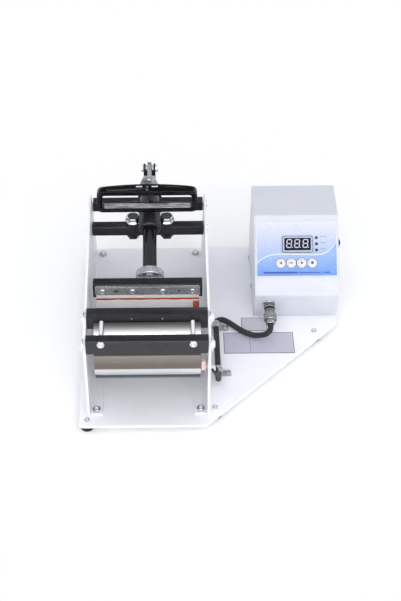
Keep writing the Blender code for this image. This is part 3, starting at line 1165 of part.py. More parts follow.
def make_box_tabs(cover, base):
    """Tabs bent up from the base plate, inside the cover's side walls, which its screws go into."""
    places = []
    z = GAP + BOX_SCREW_RISE
    for share in BOX_SCREW_SHARES:
        y = BOX_FOOT_Y + share * (BOX_REAR - BOX_FOOT_Y)
        for side, wall in ((-1, BOX_LEFT), (1, BOX_RIGHT)):
            inner = wall - side * (BOX_WALL + GAP)
            places.append(facing((wall, y, z), (side, 0, 0)))
            low, high = sorted((inner, inner - side * BOX_TAB_THICK))
            fuse(base, cutter(block((low, y - BOX_TAB_WIDTH / 2, -BASE_THICK / 2),
                                    (high, y + BOX_TAB_WIDTH / 2, GAP + BOX_TAB_TOP)), press))
            drill = cutter(rod((wall + side * OVERRUN, y, z), (inner - side * (BOX_TAB_THICK + OVERRUN), y, z),
                               BOX_SCREW_R + GAP, SHANK_SIDES), press)
            cut(base, drill)
    screw = fastener(SCREW_SIDES, BOX_SCREW_HEAD_R, BOX_SCREW_HEAD, BOX_SCREW_R,
                     BOX_WALL + GAP + BOX_TAB_THICK + OVERRUN / 2, SMALL_DOME_SHARE)
    weld(cover, screw, places, press)


def make_front_panel(cover):
    middle = (BOX_LEFT + BOX_RIGHT) / 2
    half = LABEL_WIDTH / 2
    outline = rounded([(middle - half, LABEL_LOW), (middle + half, LABEL_LOW), (middle + half, LABEL_HIGH),
                       (middle - half, LABEL_HIGH)], LABEL_CORNER_R)
    label = add("panel_label", sheet([outline], LABEL_THICK), panel, LABEL_FILM, (0, 0, GAP + LABEL_THICK / 2))
    label_top = GAP + LABEL_THICK
    wide, tall = BEZEL_WIDTH / 2, BEZEL_HEIGHT / 2
    bezel_mid = BEZEL_LOW + tall
    window = cutter(block((BEZEL_X - wide + BEZEL_RIM / 2, bezel_mid - tall + BEZEL_RIM / 2, -BOX_WALL * 2),
                          (BEZEL_X + wide - BEZEL_RIM / 2, bezel_mid + tall - BEZEL_RIM / 2,
                           label_top + OVERRUN)), panel)
    cut(cover, window)
    cut(label, window)
    rim = rounded([(-wide, -tall), (wide, -tall), (wide, tall), (-wide, tall)], BEZEL_R)
    bezel = add("display_bezel", sheet([rim], BEZEL_PROUD), panel, GREY_BUTTON,
                (BEZEL_X, bezel_mid, label_top + GAP + BEZEL_PROUD / 2))
    inner_wide, inner_tall = wide - BEZEL_RIM, tall - BEZEL_RIM
    neck_wide, neck_tall = wide - BEZEL_RIM / 2 - GAP, tall - BEZEL_RIM / 2 - GAP
    neck = block((BEZEL_X - neck_wide, bezel_mid - neck_tall, -BOX_WALL - BEZEL_FLANGE),
                 (BEZEL_X + neck_wide, bezel_mid + neck_tall, label_top + GAP + BEZEL_PROUD / 2))
    fuse(bezel, cutter(neck, panel))
    cut(bezel, cutter(block((BEZEL_X - inner_wide, bezel_mid - inner_tall, -BOX_WALL - BEZEL_FLANGE - OVERRUN),
                            (BEZEL_X + inner_wide, bezel_mid + inner_tall, OVERRUN * 2)), panel))
    screen_wide, screen_tall = inner_wide - GAP, inner_tall - GAP
    add("display_module", block((BEZEL_X - screen_wide, bezel_mid - screen_tall, GAP - BOARD_DEPTH),
                                (BEZEL_X + screen_wide, bezel_mid + screen_tall, label_top)), panel,
        DARK_WINDOW)
    for i in range(LAMP_COUNT):
        x, v = LAMP_X, LAMP_LOW + i * LAMP_PITCH
        drill = cutter(rod((x, v, -BOX_WALL * 2), (x, v, label_top + OVERRUN), LAMP_R + GAP, SHANK_SIDES),
                       panel)
        cut(cover, drill)
        cut(label, drill)
    make_buttons(cover, label, label_top)
    board = block((middle - BOARD_WIDTH / 2, BOARD_LOW, -BOARD_DEPTH - BOARD_THICK),
                  (middle + BOARD_WIDTH / 2, BOARD_HIGH, -BOARD_DEPTH))
    board_made = add("control_board", board, panel, BOARD_GREEN)
    x_in = BOARD_WIDTH / 2 - STANDOFF_INSET
    for x in (middle - x_in, middle + x_in):
        for v in (BOARD_LOW + STANDOFF_INSET, BOARD_HIGH - STANDOFF_INSET):
            post = rod((x, v, -BOARD_DEPTH - BOARD_THICK / 2), (x, v, -BOX_WALL - GAP), STANDOFF_R,
                       SHANK_SIDES)
            fuse(board_made, cutter(post, panel))
    for i in range(len(BUTTON_NAMES)):
        x = BUTTON_X + i * BUTTON_PITCH
        top = -BOX_WALL - GAP - BUTTON_SKIRT - BUTTON_TRAVEL - GAP - BUTTON_FEEL
        switch = block((x - TACT_SIZE / 2, BUTTON_V - TACT_SIZE / 2, -BOARD_DEPTH - BOARD_THICK / 2),
                       (x + TACT_SIZE / 2, BUTTON_V + TACT_SIZE / 2, top))
        fuse(board_made, cutter(switch, panel))
    for i in range(LAMP_COUNT):
        v = LAMP_LOW + i * LAMP_PITCH
        lamp = rod((LAMP_X, v, -BOARD_DEPTH - BOARD_THICK / 2), (LAMP_X, v, label_top + LAMP_PROUD), LAMP_R,
                   SHANK_SIDES)
        fuse(board_made, cutter(lamp, panel))


def make_buttons(cover, label, label_top):
    skirt_top = -BOX_WALL - GAP
    profile = [(0, label_top + BUTTON_PROUD), (BUTTON_R - BAR_EDGE, label_top + BUTTON_PROUD),
               (BUTTON_R, label_top + BUTTON_PROUD - BAR_EDGE), (BUTTON_R, skirt_top),
               (BUTTON_SKIRT_R, skirt_top), (BUTTON_SKIRT_R, skirt_top - BUTTON_SKIRT),
               (0, skirt_top - BUTTON_SKIRT)]
    for i, name in enumerate(BUTTON_NAMES):
        x = BUTTON_X + i * BUTTON_PITCH
        smooth(add(name, turned(profile, ROUND_SIDES), panel, GREY_BUTTON, (x, BUTTON_V, 0)))
        drill = cutter(rod((x, BUTTON_V, -BOX_WALL * 2), (x, BUTTON_V, label_top + OVERRUN), BUTTON_R + GAP,
                           ROUND_SIDES), panel)
        cut(cover, drill)
        cut(label, drill)


def make_switch(cover):
    wall = BOX_RIGHT
    deep, tall = SWITCH_FRAME[0] / 2, SWITCH_FRAME[1] / 2
    open_deep, open_tall = SWITCH_OPENING[0] / 2, SWITCH_OPENING[1] / 2
    body_deep, body_tall = (deep + open_deep) / 2, (tall + open_tall) / 2
    frame = add("switch_frame", block((wall + GAP, SWITCH_Y - deep, SWITCH_Z - tall),
                                      (wall + GAP + SWITCH_FRAME_PROUD, SWITCH_Y + deep, SWITCH_Z + tall)),
                press, BLACK_PLASTIC)
    body = block((wall - SWITCH_BODY_DEPTH, SWITCH_Y - body_deep, SWITCH_Z - body_tall),
                 (wall + GAP + SWITCH_FRAME_PROUD / 2, SWITCH_Y + body_deep, SWITCH_Z + body_tall))
    fuse(frame, cutter(body, press))
    well = block((wall - ROCKER_DEEP - ROCKER_CLEAR, SWITCH_Y - open_deep, SWITCH_Z - open_tall),
                 (wall + OVERRUN * 2, SWITCH_Y + open_deep, SWITCH_Z + open_tall))
    cut(frame, cutter(well, press))
    cut(cover, cutter(block((wall - BOX_WALL - OVERRUN, SWITCH_Y - body_deep - GAP, SWITCH_Z - body_tall - GAP),
                            (wall + OVERRUN, SWITCH_Y + body_deep + GAP, SWITCH_Z + body_tall + GAP)), press))
    pivot = empty("rocker_pivot", (wall - ROCKER_AXIS_DEPTH, SWITCH_Y, SWITCH_Z), FLAT, press)
    upper = ((ROCKER_REACH, ROCKER_REACH_TURN), (ROCKER_SHOULDER, ROCKER_SHOULDER_TURN),
             (ROCKER_HIP, ROCKER_HIP_TURN))
    lower = [(reach, -turn) for reach, turn in reversed(upper)]
    polar = [(ROCKER_DISH, 0), *upper, (ROCKER_KEEL, pi), *lower]
    half_throw = ROCKER_THROW / 2
    face = [(reach * cos(turn - half_throw), reach * sin(turn - half_throw)) for reach, turn in polar]
    add("power_rocker", sheet([face], 2 * (open_deep - ROCKER_CLEAR)), pivot, BLACK_PLASTIC, (0, 0, 0),
        UPRIGHT_Y)


def make_rear_fittings(back_plate):
    y = BOX_REAR
    wide, tall = INLET_FLANGE[0] / 2, INLET_FLANGE[1] / 2
    flange = rounded([(-wide, -tall), (wide, -tall), (wide, tall), (-wide, tall)], INLET_R)
    inlet = add("power_inlet", sheet([flange], INLET_PROUD), press, BLACK_PLASTIC,
                (INLET_X, y + GAP + INLET_PROUD / 2, INLET_Z), UPRIGHT_Y)
    body_wide, body_tall = INLET_BODY[0] / 2, INLET_BODY[1] / 2
    body = block((INLET_X - body_wide, y - INLET_DEPTH - BOX_WALL, INLET_Z - body_tall),
                 (INLET_X + body_wide, y + INLET_PROUD / 2, INLET_Z + body_tall))
    fuse(inlet, cutter(body, press))
    well_wide, well_tall = INLET_WELL[0] / 2, INLET_WELL[1] / 2
    cut(inlet, cutter(block((INLET_X - well_wide, y - INLET_DEPTH + BOX_WALL, INLET_Z - well_tall),
                            (INLET_X + well_wide, y + INLET_PROUD + OVERRUN, INLET_Z + well_tall)), press))
    cut(back_plate, cutter(block((INLET_X - body_wide - GAP, y - BOX_WALL - OVERRUN, INLET_Z - body_tall - GAP),
                                 (INLET_X + body_wide + GAP, y + OVERRUN, INLET_Z + body_tall + GAP)), press))
    profile = [(0, FUSE_PROUD), (FUSE_R - BAR_EDGE, FUSE_PROUD), (FUSE_R, FUSE_PROUD - BAR_EDGE), (FUSE_R, GAP),
               (FUSE_BODY_R, GAP), (FUSE_BODY_R, -FUSE_DEPTH), (0, -FUSE_DEPTH)]
    fuse_made = add("fuse_holder", turned(profile, ROUND_SIDES), press, BLACK_PLASTIC, (FUSE_X, y, FUSE_Z),
                    Euler((-pi / 2, 0, 0)))
    smooth(fuse_made)
    cut(back_plate, cutter(rod((FUSE_X, y - BOX_WALL - OVERRUN, FUSE_Z), (FUSE_X, y + OVERRUN, FUSE_Z),
                               FUSE_BODY_R + GAP, ROUND_SIDES), press))
    for i in range(VENT_COUNT):
        x = (BOX_LEFT + BOX_RIGHT) / 2 + (i - (VENT_COUNT - 1) / 2) * VENT_PITCH
        vent = block((x - VENT_WIDTH / 2, y - BOX_WALL - OVERRUN, VENT_LOW),
                     (x + VENT_WIDTH / 2, y + OVERRUN, VENT_LOW + VENT_LENGTH))
        cut(back_plate, cutter(vent, press))


def make_box_inside():
    wide, deep, tall = TRANSFORMER_SIZE
    y = BOX_REAR - BOX_WALL - INLET_DEPTH - TRANSFORMER_CLEAR - deep / 2
    core_deep, coil_wide = deep * CORE_DEPTH_SHARE, wide * WINDING_WIDTH_SHARE
    core = add("power_transformer", block((TRANSFORMER_X - wide / 2, y - core_deep / 2, GAP),
                                          (TRANSFORMER_X + wide / 2, y + core_deep / 2, GAP + tall)), press,
               ZINC)
    coil = block((TRANSFORMER_X - coil_wide / 2, y - deep / 2, GAP + WINDING_GROW),
                 (TRANSFORMER_X + coil_wide / 2, y + deep / 2, GAP + tall - WINDING_GROW))
    fuse(core, cutter(coil, press))


def make_connector(cover):
    share = SOCKET_DROP / LOWER_FACE_LENGTH
    y = BOX_LOW_BEND_Y + (BOX_FOOT_Y - BOX_LOW_BEND_Y) * share
    z = BOX_LOW_BEND_Z * (1 - share)
    socket_frame = empty("connector_axis", (SOCKET_X, y, z), Euler((LOWER_FACE_TURN, 0, 0)), press)
    neck_top = GAP + SOCKET_FLANGE + SOCKET_NECK
    profile = [(0, neck_top), (SOCKET_NECK_R, neck_top), (SOCKET_NECK_R, GAP + SOCKET_FLANGE),
               (SOCKET_R, GAP + SOCKET_FLANGE), (SOCKET_R, GAP), (SOCKET_NECK_R, GAP),
               (SOCKET_NECK_R, -SOCKET_BODY_DEPTH), (0, -SOCKET_BODY_DEPTH)]
    smooth(add("connector_socket", turned(profile, ROUND_SIDES), socket_frame, CHROME))
    cut(cover, cutter(rod((0, 0, -BOX_WALL - OVERRUN), (0, 0, OVERRUN), SOCKET_NECK_R + GAP, ROUND_SIDES),
                      socket_frame))
    start = GAP * 2 + SOCKET_FLANGE
    ring, waist, grip_nut, tail = [start + PLUG_LENGTH * share for share in PLUG_STEP_SHARES]
    profile = [(0, tail), (PLUG_TAIL_R, tail), (PLUG_TAIL_R, grip_nut), (PLUG_NUT_R, grip_nut),
               (PLUG_NUT_R, waist), (PLUG_WAIST_R, waist), (PLUG_WAIST_R, ring), (PLUG_COLLAR_R, ring),
               (PLUG_COLLAR_R, start), (0, start)]
    plug = add("heater_plug", turned(profile, ROUND_SIDES), socket_frame, CHROME)
    cut(plug, cutter(rod((0, 0, start - OVERRUN), (0, 0, neck_top + GAP), SOCKET_NECK_R + GAP, ROUND_SIDES),
                     socket_frame))
    smooth(plug)
    turn = Euler((LOWER_FACE_TURN, 0, 0)).to_matrix()
    exit_point = Vector((SOCKET_X, y, z)) + turn @ Vector((0, 0, tail + GAP))
    heading = turn @ Vector((0, 0, 1))
    return exit_point, heading


def make_lead(exit_point, heading, tab_y):
    """The heater's sleeved lead, from its plug through both clips to the right side plate."""
    clip_rear, clip_front = Vector((*CLIP_REAR, LEAD_Z)), Vector((*CLIP_FRONT, LEAD_Z))
    points = [exit_point + heading * LEAD_R]
    points += [Vector(place) for place in LEAD_CORNER]
    points += [clip_rear + Vector((0, CLIP_WIDTH / 2, 0)), clip_rear - Vector((0, CLIP_WIDTH / 2, 0))]
    points += [clip_rear.lerp(clip_front, share) for share in LEAD_SAG_SHARES]
    points += [clip_front + Vector((0, CLIP_WIDTH / 2, 0)), clip_front - Vector((0, CLIP_WIDTH / 2, 0))]
    points += [Vector(place) for place in LEAD_CLIMB]
    route = [exit_point] + smooth_route(points, LEAD_SPACING)
    smooth(add("heater_lead", tube(route, LEAD_R), press, RUBBER))
    end = route[-1]
    along = (route[-1] - route[-2]).normalized()
    start = end + along * (GAP * 2 + WIRE_SPREAD / 2)
    tab = Vector((WRAP_WIDTH / 2 + LEAD_TAB_LENGTH + GAP, tab_y, LEAD_HOLE_Z + WIRE_R))
    outside = Vector((HALF_WIDTH + WIRE_ENTRY, LEAD_HOLE_Y, LEAD_HOLE_Z - WIRE_R))
    strands = []
    for side in (-1, 1):
        shift = Vector((0, side * WIRE_SPREAD, 0))
        run = [start + shift, start + shift + along * LEAD_R, outside + shift, tab + shift]
        strands.append(tube(smooth_route(run, WIRE_SPACING), WIRE_R))
    wires = smooth(add("heater_wires", strands[0], press, LINER_CLOTH))
    fuse(wires, cutter(strands[1], press))
    outer = LEAD_R + GAP + CLIP_WALL
    screw = fastener(SCREW_SIDES, CLIP_SCREW_HEAD_R, CLIP_SCREW_HEAD, CLIP_SCREW_R,
                     CLIP_WALL + GAP + BASE_THICK, SMALL_DOME_SHARE)
    for name, (x, y) in (("rear_cable_clip", CLIP_REAR), ("front_cable_clip", CLIP_FRONT)):
        tab_block = block((x - CLIP_HEEL, y - CLIP_WIDTH / 2, GAP),
                          (x + CLIP_TAB, y + CLIP_WIDTH / 2, GAP + CLIP_WALL))
        clip = add(name, tab_block, press, NYLON)
        narrow = CLIP_WIDTH / 2 - CLIP_LIP
        fuse(clip, cutter(rod((x, y - narrow, LEAD_Z), (x, y + narrow, LEAD_Z), outer, ROUND_SIDES), press))
        cut(clip, cutter(rod((x, y - CLIP_WIDTH, LEAD_Z), (x, y + CLIP_WIDTH, LEAD_Z), LEAD_R + GAP * 2,
                             ROUND_SIDES), press))
        weld(clip, screw, [Matrix.Translation((x + CLIP_SCREW_REACH, y, GAP + CLIP_WALL))], press)


base_plate, side_bolts, foot_bolt = make_base()
side_plates = make_side_plates(side_bolts, foot_bolt)
make_crossbars(side_plates)
lead_tab_y = make_heater()
make_jaw()
make_plunger()
make_clamp_housing()
make_lever()
plug_exit, plug_heading = make_control_box(base_plate)
make_lead(plug_exit, plug_heading, lead_tab_y)

bpy.context.view_layer.update()
triangles = 0
for obj in PARTS.objects:
    if obj.type == "MESH":
        mesh = baked(obj)
        triangles += sum(len(face.vertices) - 2 for face in mesh.polygons)
        bpy.data.meshes.remove(mesh)
print("parts:", sum(obj.type == "MESH" for obj in PARTS.objects), "triangles:", triangles)
print("stroke mm:", round(STROKE / MM, 3), "link swing rad:", round(LINK_SWING, 4))
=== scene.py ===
# %% [markdown]
# # A mug heat press
#
# A mug heat press prints a picture on a mug. The mug lies in a heated wrap between two side
# plates, a lever pushes the wrap shut, and a box on the right sets time and temperature. The CAD
# model gives every solid its place. This script gives each one its finish, and makes the fine
# pieces that a CAD model leaves out: rounded screws, cloth, cable, print and digits.

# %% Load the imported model
import json
from math import atan2, cos, hypot, pi, radians, sin, tau

import bpy
import bmesh
from mathutils import Matrix, Vector


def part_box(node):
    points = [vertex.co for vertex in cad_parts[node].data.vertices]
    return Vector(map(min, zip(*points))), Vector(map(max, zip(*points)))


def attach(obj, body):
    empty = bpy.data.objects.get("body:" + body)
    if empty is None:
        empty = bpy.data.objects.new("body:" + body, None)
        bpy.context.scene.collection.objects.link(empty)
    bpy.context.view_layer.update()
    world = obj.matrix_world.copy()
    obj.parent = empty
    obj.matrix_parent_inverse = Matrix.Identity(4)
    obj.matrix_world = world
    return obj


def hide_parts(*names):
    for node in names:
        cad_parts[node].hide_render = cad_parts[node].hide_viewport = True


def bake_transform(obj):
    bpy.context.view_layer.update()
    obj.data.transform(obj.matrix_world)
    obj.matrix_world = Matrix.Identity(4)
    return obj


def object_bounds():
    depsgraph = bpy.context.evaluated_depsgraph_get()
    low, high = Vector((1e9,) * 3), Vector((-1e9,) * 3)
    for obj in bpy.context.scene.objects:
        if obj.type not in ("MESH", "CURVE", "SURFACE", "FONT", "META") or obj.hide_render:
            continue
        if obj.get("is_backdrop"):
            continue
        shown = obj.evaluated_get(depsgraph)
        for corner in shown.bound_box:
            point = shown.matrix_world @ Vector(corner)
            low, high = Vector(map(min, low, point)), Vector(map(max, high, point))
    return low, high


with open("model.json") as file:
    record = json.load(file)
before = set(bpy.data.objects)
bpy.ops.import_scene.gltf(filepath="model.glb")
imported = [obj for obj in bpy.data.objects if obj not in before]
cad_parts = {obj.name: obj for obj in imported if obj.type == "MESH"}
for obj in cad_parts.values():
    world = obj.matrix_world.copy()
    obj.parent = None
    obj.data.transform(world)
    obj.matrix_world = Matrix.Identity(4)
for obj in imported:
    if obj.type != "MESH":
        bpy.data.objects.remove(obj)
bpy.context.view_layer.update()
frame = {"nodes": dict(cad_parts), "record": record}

NODES = frame["nodes"]
SLOT_OF = {part["node"]: part["material_slot"] for part in frame["record"]["subparts"]}
BODY_OF = {node: body for body, group in frame["record"]["behaviour"]["bodies"].items() for node in group}

# %% [markdown]
# ## Frames
#
# It is easier to model in millimetres and in the direction that a piece was made. So each group
# has a matrix from its own millimetres to metres in the scene: the press stands on the base
# plate, the clamp leans back by 16.7 degrees, the panel lies on the box's slope, and the plug
# sticks out of the box's lower face.

# %% Frames
MM = 0.001
BASE_THICK, FOOT_HEIGHT = 4.0, 8.0
FLOOR_UP = BASE_THICK + FOOT_HEIGHT
MUG_Y, MUG_Z = 70.0, 75.3
CLAMP_TILT, CLAMP_AXIS_Z, CLAMP_X = radians(16.7), 76.8, 2.5
LOW_BEND, TOP_BEND, BOX_FOOT_Y = Vector((163.0, 47.0)), Vector((238.0, 111.0)), 176.7
SOCKET_X, SOCKET_DROP = 147.0, 16.5
BOX_LEFT, BOX_RIGHT = 129.0, 231.0

bar_low, bar_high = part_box("front_clamp_bar")
ORIGIN = Vector(((bar_low.x + bar_high.x) / 2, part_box("base_plate")[0].y, FLOOR_UP * MM))
PRESS = Matrix.Translation(ORIGIN) @ Matrix.Scale(MM, 4)
CLAMP = PRESS @ Matrix.Translation((CLAMP_X, MUG_Y, CLAMP_AXIS_Z)) @ Matrix.Rotation(CLAMP_TILT, 4, "X")
SLOPE = atan2(*reversed(TOP_BEND - LOW_BEND))
PANEL = PRESS @ Matrix.Translation((0, *LOW_BEND)) @ Matrix.Rotation(SLOPE, 4, "X")
FACE_TURN = atan2(LOW_BEND.y, LOW_BEND.x - BOX_FOOT_Y)
SOCKET_SHARE = SOCKET_DROP / hypot(LOW_BEND.y, LOW_BEND.x - BOX_FOOT_Y)
SOCKET_AT = Vector((SOCKET_X, *LOW_BEND.lerp(Vector((BOX_FOOT_Y, 0)), SOCKET_SHARE)))
PLUG = PRESS @ Matrix.Translation(SOCKET_AT) @ Matrix.Rotation(FACE_TURN, 4, "X")
ALONG_Y = Matrix.Rotation(-pi / 2, 4, "X")
SIDEWAYS = Matrix.Rotation(pi / 2, 4, "Z") @ Matrix.Rotation(pi / 2, 4, "X")
print("press frame starts at", [round(value, 4) for value in ORIGIN])

# %% [markdown]
# ## Camera
#
# The photograph looks down at the press by about 44 degrees from some 1.6 m away, with a long
# lens. The press stands right of the lens's middle, so the sensor is shifted a little instead
# of turning the camera, which keeps the uprights parallel as they are in the picture.

# %% Camera
CAMERA_AT = (21.6, -993.9, 1153.9)
CAMERA_DIP, CAMERA_ROLL = radians(43.88), radians(0.56)
PHOTO_SIZE, PHOTO_FOCUS, PHOTO_MIDDLE_X = (401, 601), 1326.2, 166.4


def add_object(name, data):
    made = bpy.data.objects.new(name, data)
    bpy.context.scene.collection.objects.link(made)
    return made


camera = add_object("camera", bpy.data.cameras.new("camera"))
camera.data.sensor_width = 36.0
camera.data.lens = PHOTO_FOCUS * camera.data.sensor_width / PHOTO_SIZE[1]
camera.data.shift_x = (PHOTO_SIZE[0] / 2 - PHOTO_MIDDLE_X) / PHOTO_SIZE[1]
turn = Matrix.Rotation(pi / 2 - CAMERA_DIP, 4, "X") @ Matrix.Rotation(-CAMERA_ROLL, 4, "Z")
camera.matrix_world = Matrix.Translation(PRESS @ Vector(CAMERA_AT)) @ turn
bpy.context.scene.camera = camera
bpy.context.scene.view_settings.view_transform = "Standard"
print("lens", round(camera.data.lens, 1), "mm, shift", round(camera.data.shift_x, 4))

# %% [markdown]
# ## Helpers for shaders
#
# Every material starts from a Principled BSDF. Colours are written as a web page writes them and
# turned to linear values once. One function adds a node: an input that is given a socket is
# linked, and anything else is set. Sizes of grain and blotches are real ones, in millimetres.

# %% Shader helpers
FINISH = {}


def linear(code):
    values = [int(code[i:i + 2], 16) / 255 for i in (1, 3, 5)]
    return [v / 12.92 if v <= 0.04045 else ((v + 0.055) / 1.055) ** 2.4 for v in values] + [1.0]


def add_node(tree, kind, inputs=(), **settings):
    made = tree.nodes.new("ShaderNode" + kind)
    for name, value in settings.items():
        setattr(made, name, value)
    for name, value in dict(inputs).items():
        if isinstance(value, bpy.types.NodeSocket):
            tree.links.new(value, made.inputs[name])
        else:
            made.inputs[name].default_value = value
    return made


def wire(tree, shader, sockets):
    for name, source in sockets.items():
        tree.links.new(source, shader.inputs[name])


def surface(name, color, roughness, metallic=0.0, slot=None, rough=(), bumps=(), **sockets):
    """A new material. `rough` is (size, low, high) and `bumps` is (size, depth, strength)."""
    made = bpy.data.materials.new(name)
    made.use_nodes = True
    tree = made.node_tree
    shader = tree.nodes["Principled BSDF"]
    even = {"Base Color": linear(color), "Roughness": roughness, "Metallic": metallic}
    even.update({socket.replace("_", " "): value for socket, value in sockets.items()})
    for socket, value in even.items():
        shader.inputs[socket].default_value = value
    if rough:
        wire(tree, shader, {"Roughness": between(tree, noise(tree, rough[0]), *rough[1:])})
    if bumps:
        wire(tree, shader, {"Normal": bump(tree, noise(tree, bumps[0]), *bumps[1:])})
    FINISH[slot or name] = made
    return tree, shader


def coords(tree):
    return add_node(tree, "TexCoord").outputs["Object"]


def noise(tree, size, stretch=(1, 1, 1), detail=2.0):
    """Soft blotches of one size, stretched along any axis."""
    scale = [1 / (size * MM * factor) for factor in stretch]
    spread = add_node(tree, "Mapping", {"Vector": coords(tree), "Scale": scale})
    inputs = {"Vector": spread.outputs[0], "Scale": 1.0, "Detail": detail}
    return add_node(tree, "TexNoise", inputs).outputs[0]


def waves(tree, size, way):
    inputs = {"Vector": coords(tree), "Scale": 1 / (size * MM * 10)}
    return add_node(tree, "TexWave", inputs, bands_direction=way).outputs[1]


def between(tree, value, low, high, start=0.3, end=0.7):
    inputs = {"Value": value, "From Min": start, "From Max": end, "To Min": low, "To Max": high}
    return add_node(tree, "MapRange", inputs).outputs[0]


def mixed(tree, share, first, second, blend="MIX"):
    first, second = (linear(end) if isinstance(end, str) else end for end in (first, second))
    return add_node(tree, "Mix", {0: share, 6: first, 7: second}, data_type="RGBA", blend_type=blend).outputs[2]


def blotched(tree, value, first, second):
    return mixed(tree, between(tree, value, 0, 1), first, second)


def bump(tree, height, depth, strength=1.0):
    return add_node(tree, "Bump", {"Height": height, "Distance": depth * MM, "Strength": strength}).outputs[0]


def calculate(tree, operation, *values):
    return add_node(tree, "Math", dict(enumerate(values)), operation=operation).outputs[0]


# %% [markdown]
# ## Paints
#
# The base, side plates and box are sheet steel with a **gloss white powder coat**. The powder
# melts and flows but never quite levels, so the gloss has a fine orange peel of about 1 mm. The
# box takes a greyer copy of the same coat, which paints shade onto it. The bars and the clamp
# are **satin black paint**: its matting agent scatters the highlight. The plunger tube is
# **gloss black**, since paint on a slide is left smooth.

# %% Paints
POWDER_PEEL, POWDER_PATCH = 1.3, 30.0
PAINT_GRAIN, PAINT_PATCH = 0.7, 9.0

# The second copy is the same powder coat made greyer: painted shade for the box.
for name, slot, light, dark in (("gloss_white_powder_coat", "white_powder_coat", "#f5f6fa", "#f2f3f7"),
                                ("painted_shade_box_coat", None, "#d3d5dd", "#cfd1d9")):
    tree, shader = surface(name, light, 0.3, slot=slot, rough=(POWDER_PATCH / 2, 0.3, 0.36),
                           bumps=(POWDER_PEEL, 0.008, 0.3))
    wire(tree, shader, {"Base Color": blotched(tree, noise(tree, POWDER_PATCH), dark, light)})

tree, shader = surface("satin_black_paint", "#1c1c20", 0.3, slot="black_paint",
                       rough=(PAINT_PATCH, 0.28, 0.33), bumps=(PAINT_GRAIN, 0.012, 0.6))
patches = noise(tree, PAINT_PATCH, detail=3)
wire(tree, shader, {"Base Color": blotched(tree, patches, "#212125", "#29292e")})
surface("gloss_black_paint", "#0c0c0e", 0.12, rough=(PAINT_PATCH, 0.1, 0.18))
paints = list(FINISH)
print("paints:", ", ".join(paints))

# %% [markdown]
# ## Metals
#
# The shell is **rolled stainless steel**. Its fine lines run along the sheet. A Color Ramp over
# the height paints reflection and shade onto its front: dark at the foot, a pale band where the
# base plate is mirrored, brown-grey above it, dark in the front bar's shade, and bright between
# the bars, darkening towards the top. Nuts and straps are **zinc plated**, which is grey and
# cloudy, the bolts are **bright plated** and mirror the studio, and the plug is
# **nickel plated**, which is darker. A bright metal strip in the grip paints the reflection of
# its gloss.

# %% Metals
STEEL_LINE, STEEL_RUN, PAINTED_BANDS_FADE = 0.35, 90, 10
ZINC_CLOUD, CHROME_SMUDGE, GRIP_STREAK = 2.4, 7.0, 5.0
SHELL_LOW, SHELL_HIGH = 27.0, 124.0
# Painted reflection and shade on the shell's front, by height: dark foot, mirrored pale band, brown-grey middle,
# bar shade, bright band.
SHELL_PAINTED_BANDS = (
    (48.0, "#12161c"), (57.0, "#20262c"), (60.0, "#dfe5ea"), (69.5, "#f2f2f0"), (71.5, "#7f7670"),
    (78.0, "#857b76"), (86.0, "#9d9490"), (89.0, "#a8a19e"), (91.0, "#4a4748"), (96.0, "#66625f"),
    (106.0, "#e6e4e1"), (112.5, "#d4d3d1"), (115.0, "#8b8a88"), (117.0, "#666564"), (119.0, "#474746"))

tree, shader = surface("rolled_stainless_steel", "#8d8480", 0.2, 1.0, "stainless_steel")
lines = noise(tree, STEEL_LINE, (STEEL_RUN, 1, 1), 3)
_, depth, height = add_node(tree, "SeparateXYZ", {0: coords(tree)}).outputs
level = between(tree, height, 0, 1, (SHELL_LOW + FLOOR_UP) * MM, (SHELL_HIGH + FLOOR_UP) * MM)
ramp = add_node(tree, "ValToRGB", {0: level})
stops = ramp.color_ramp.elements
for spot, color in SHELL_PAINTED_BANDS:
    stops.new((spot - SHELL_LOW) / (SHELL_HIGH - SHELL_LOW)).color = linear(color)
stops.remove(stops[0])
stops.remove(stops[-1])
# The painted bands stop behind the mug's axis, where the shell is plain bright steel.
behind = between(tree, depth, 0, 1, ORIGIN.y + MUG_Y * MM, ORIGIN.y + (MUG_Y + PAINTED_BANDS_FADE) * MM)
shade = mixed(tree, behind, ramp.outputs[0], "#eceae7")
wire(tree, shader, {
    "Base Color": mixed(tree, between(tree, lines, 0, 0.3), shade, "#8a8078", "MULTIPLY"),
    "Roughness": between(tree, lines, 0.14, 0.26),
    "Normal": bump(tree, lines, 0.006, 0.5)})

tree, shader = surface("zinc_plating", "#a9acaf", 0.34, 1.0, "zinc_plate")
clouds = noise(tree, ZINC_CLOUD, detail=4)
wire(tree, shader, {
    "Base Color": blotched(tree, clouds, "#a5a8ac", "#cbced2"),
    "Roughness": between(tree, clouds, 0.26, 0.42),
    "Normal": bump(tree, clouds, 0.02, 0.4)})
surface("bright_plating", "#dfe1e4", 0.1, 1.0, "chrome_plate", (CHROME_SMUDGE, 0.07, 0.16))
surface("nickel_plating", "#9a9a99", 0.16, 1.0, rough=(ZINC_CLOUD, 0.12, 0.24))

# Painted reflection: a bright, streaky metal for the strip inside the grip, standing in for the light its gloss
# mirrors.
tree, shader = surface("grip_reflection_metal", "#b4b4bc", 0.3, 1.0)
streaks = noise(tree, GRIP_STREAK, (3, 0.6, 1), 5)
wire(tree, shader, {
    "Base Color": blotched(tree, streaks, "#8a8894", "#fbfbff"),
    "Roughness": between(tree, streaks, 0.45, 0.6)})
print("metals:", ", ".join(name for name in FINISH if name not in paints))

# %% [markdown]
# ## Plastics, rubbers and cloth
#
# The grip and switches are **moulded gloss plastic**, with a slight ripple where it cooled. The
# heater is **red silicone rubber** with a satin skin, faced inside with smooth **coated glass
# cloth**. The cable clips are **clear nylon**, and the feet are plain rubber.

# %% Plastics, rubbers and cloth
RIPPLE, RUBBER_GRAIN, SILICONE_MOTTLE, CLOTH_THREAD = 6.0, 0.6, 3.0, 0.9

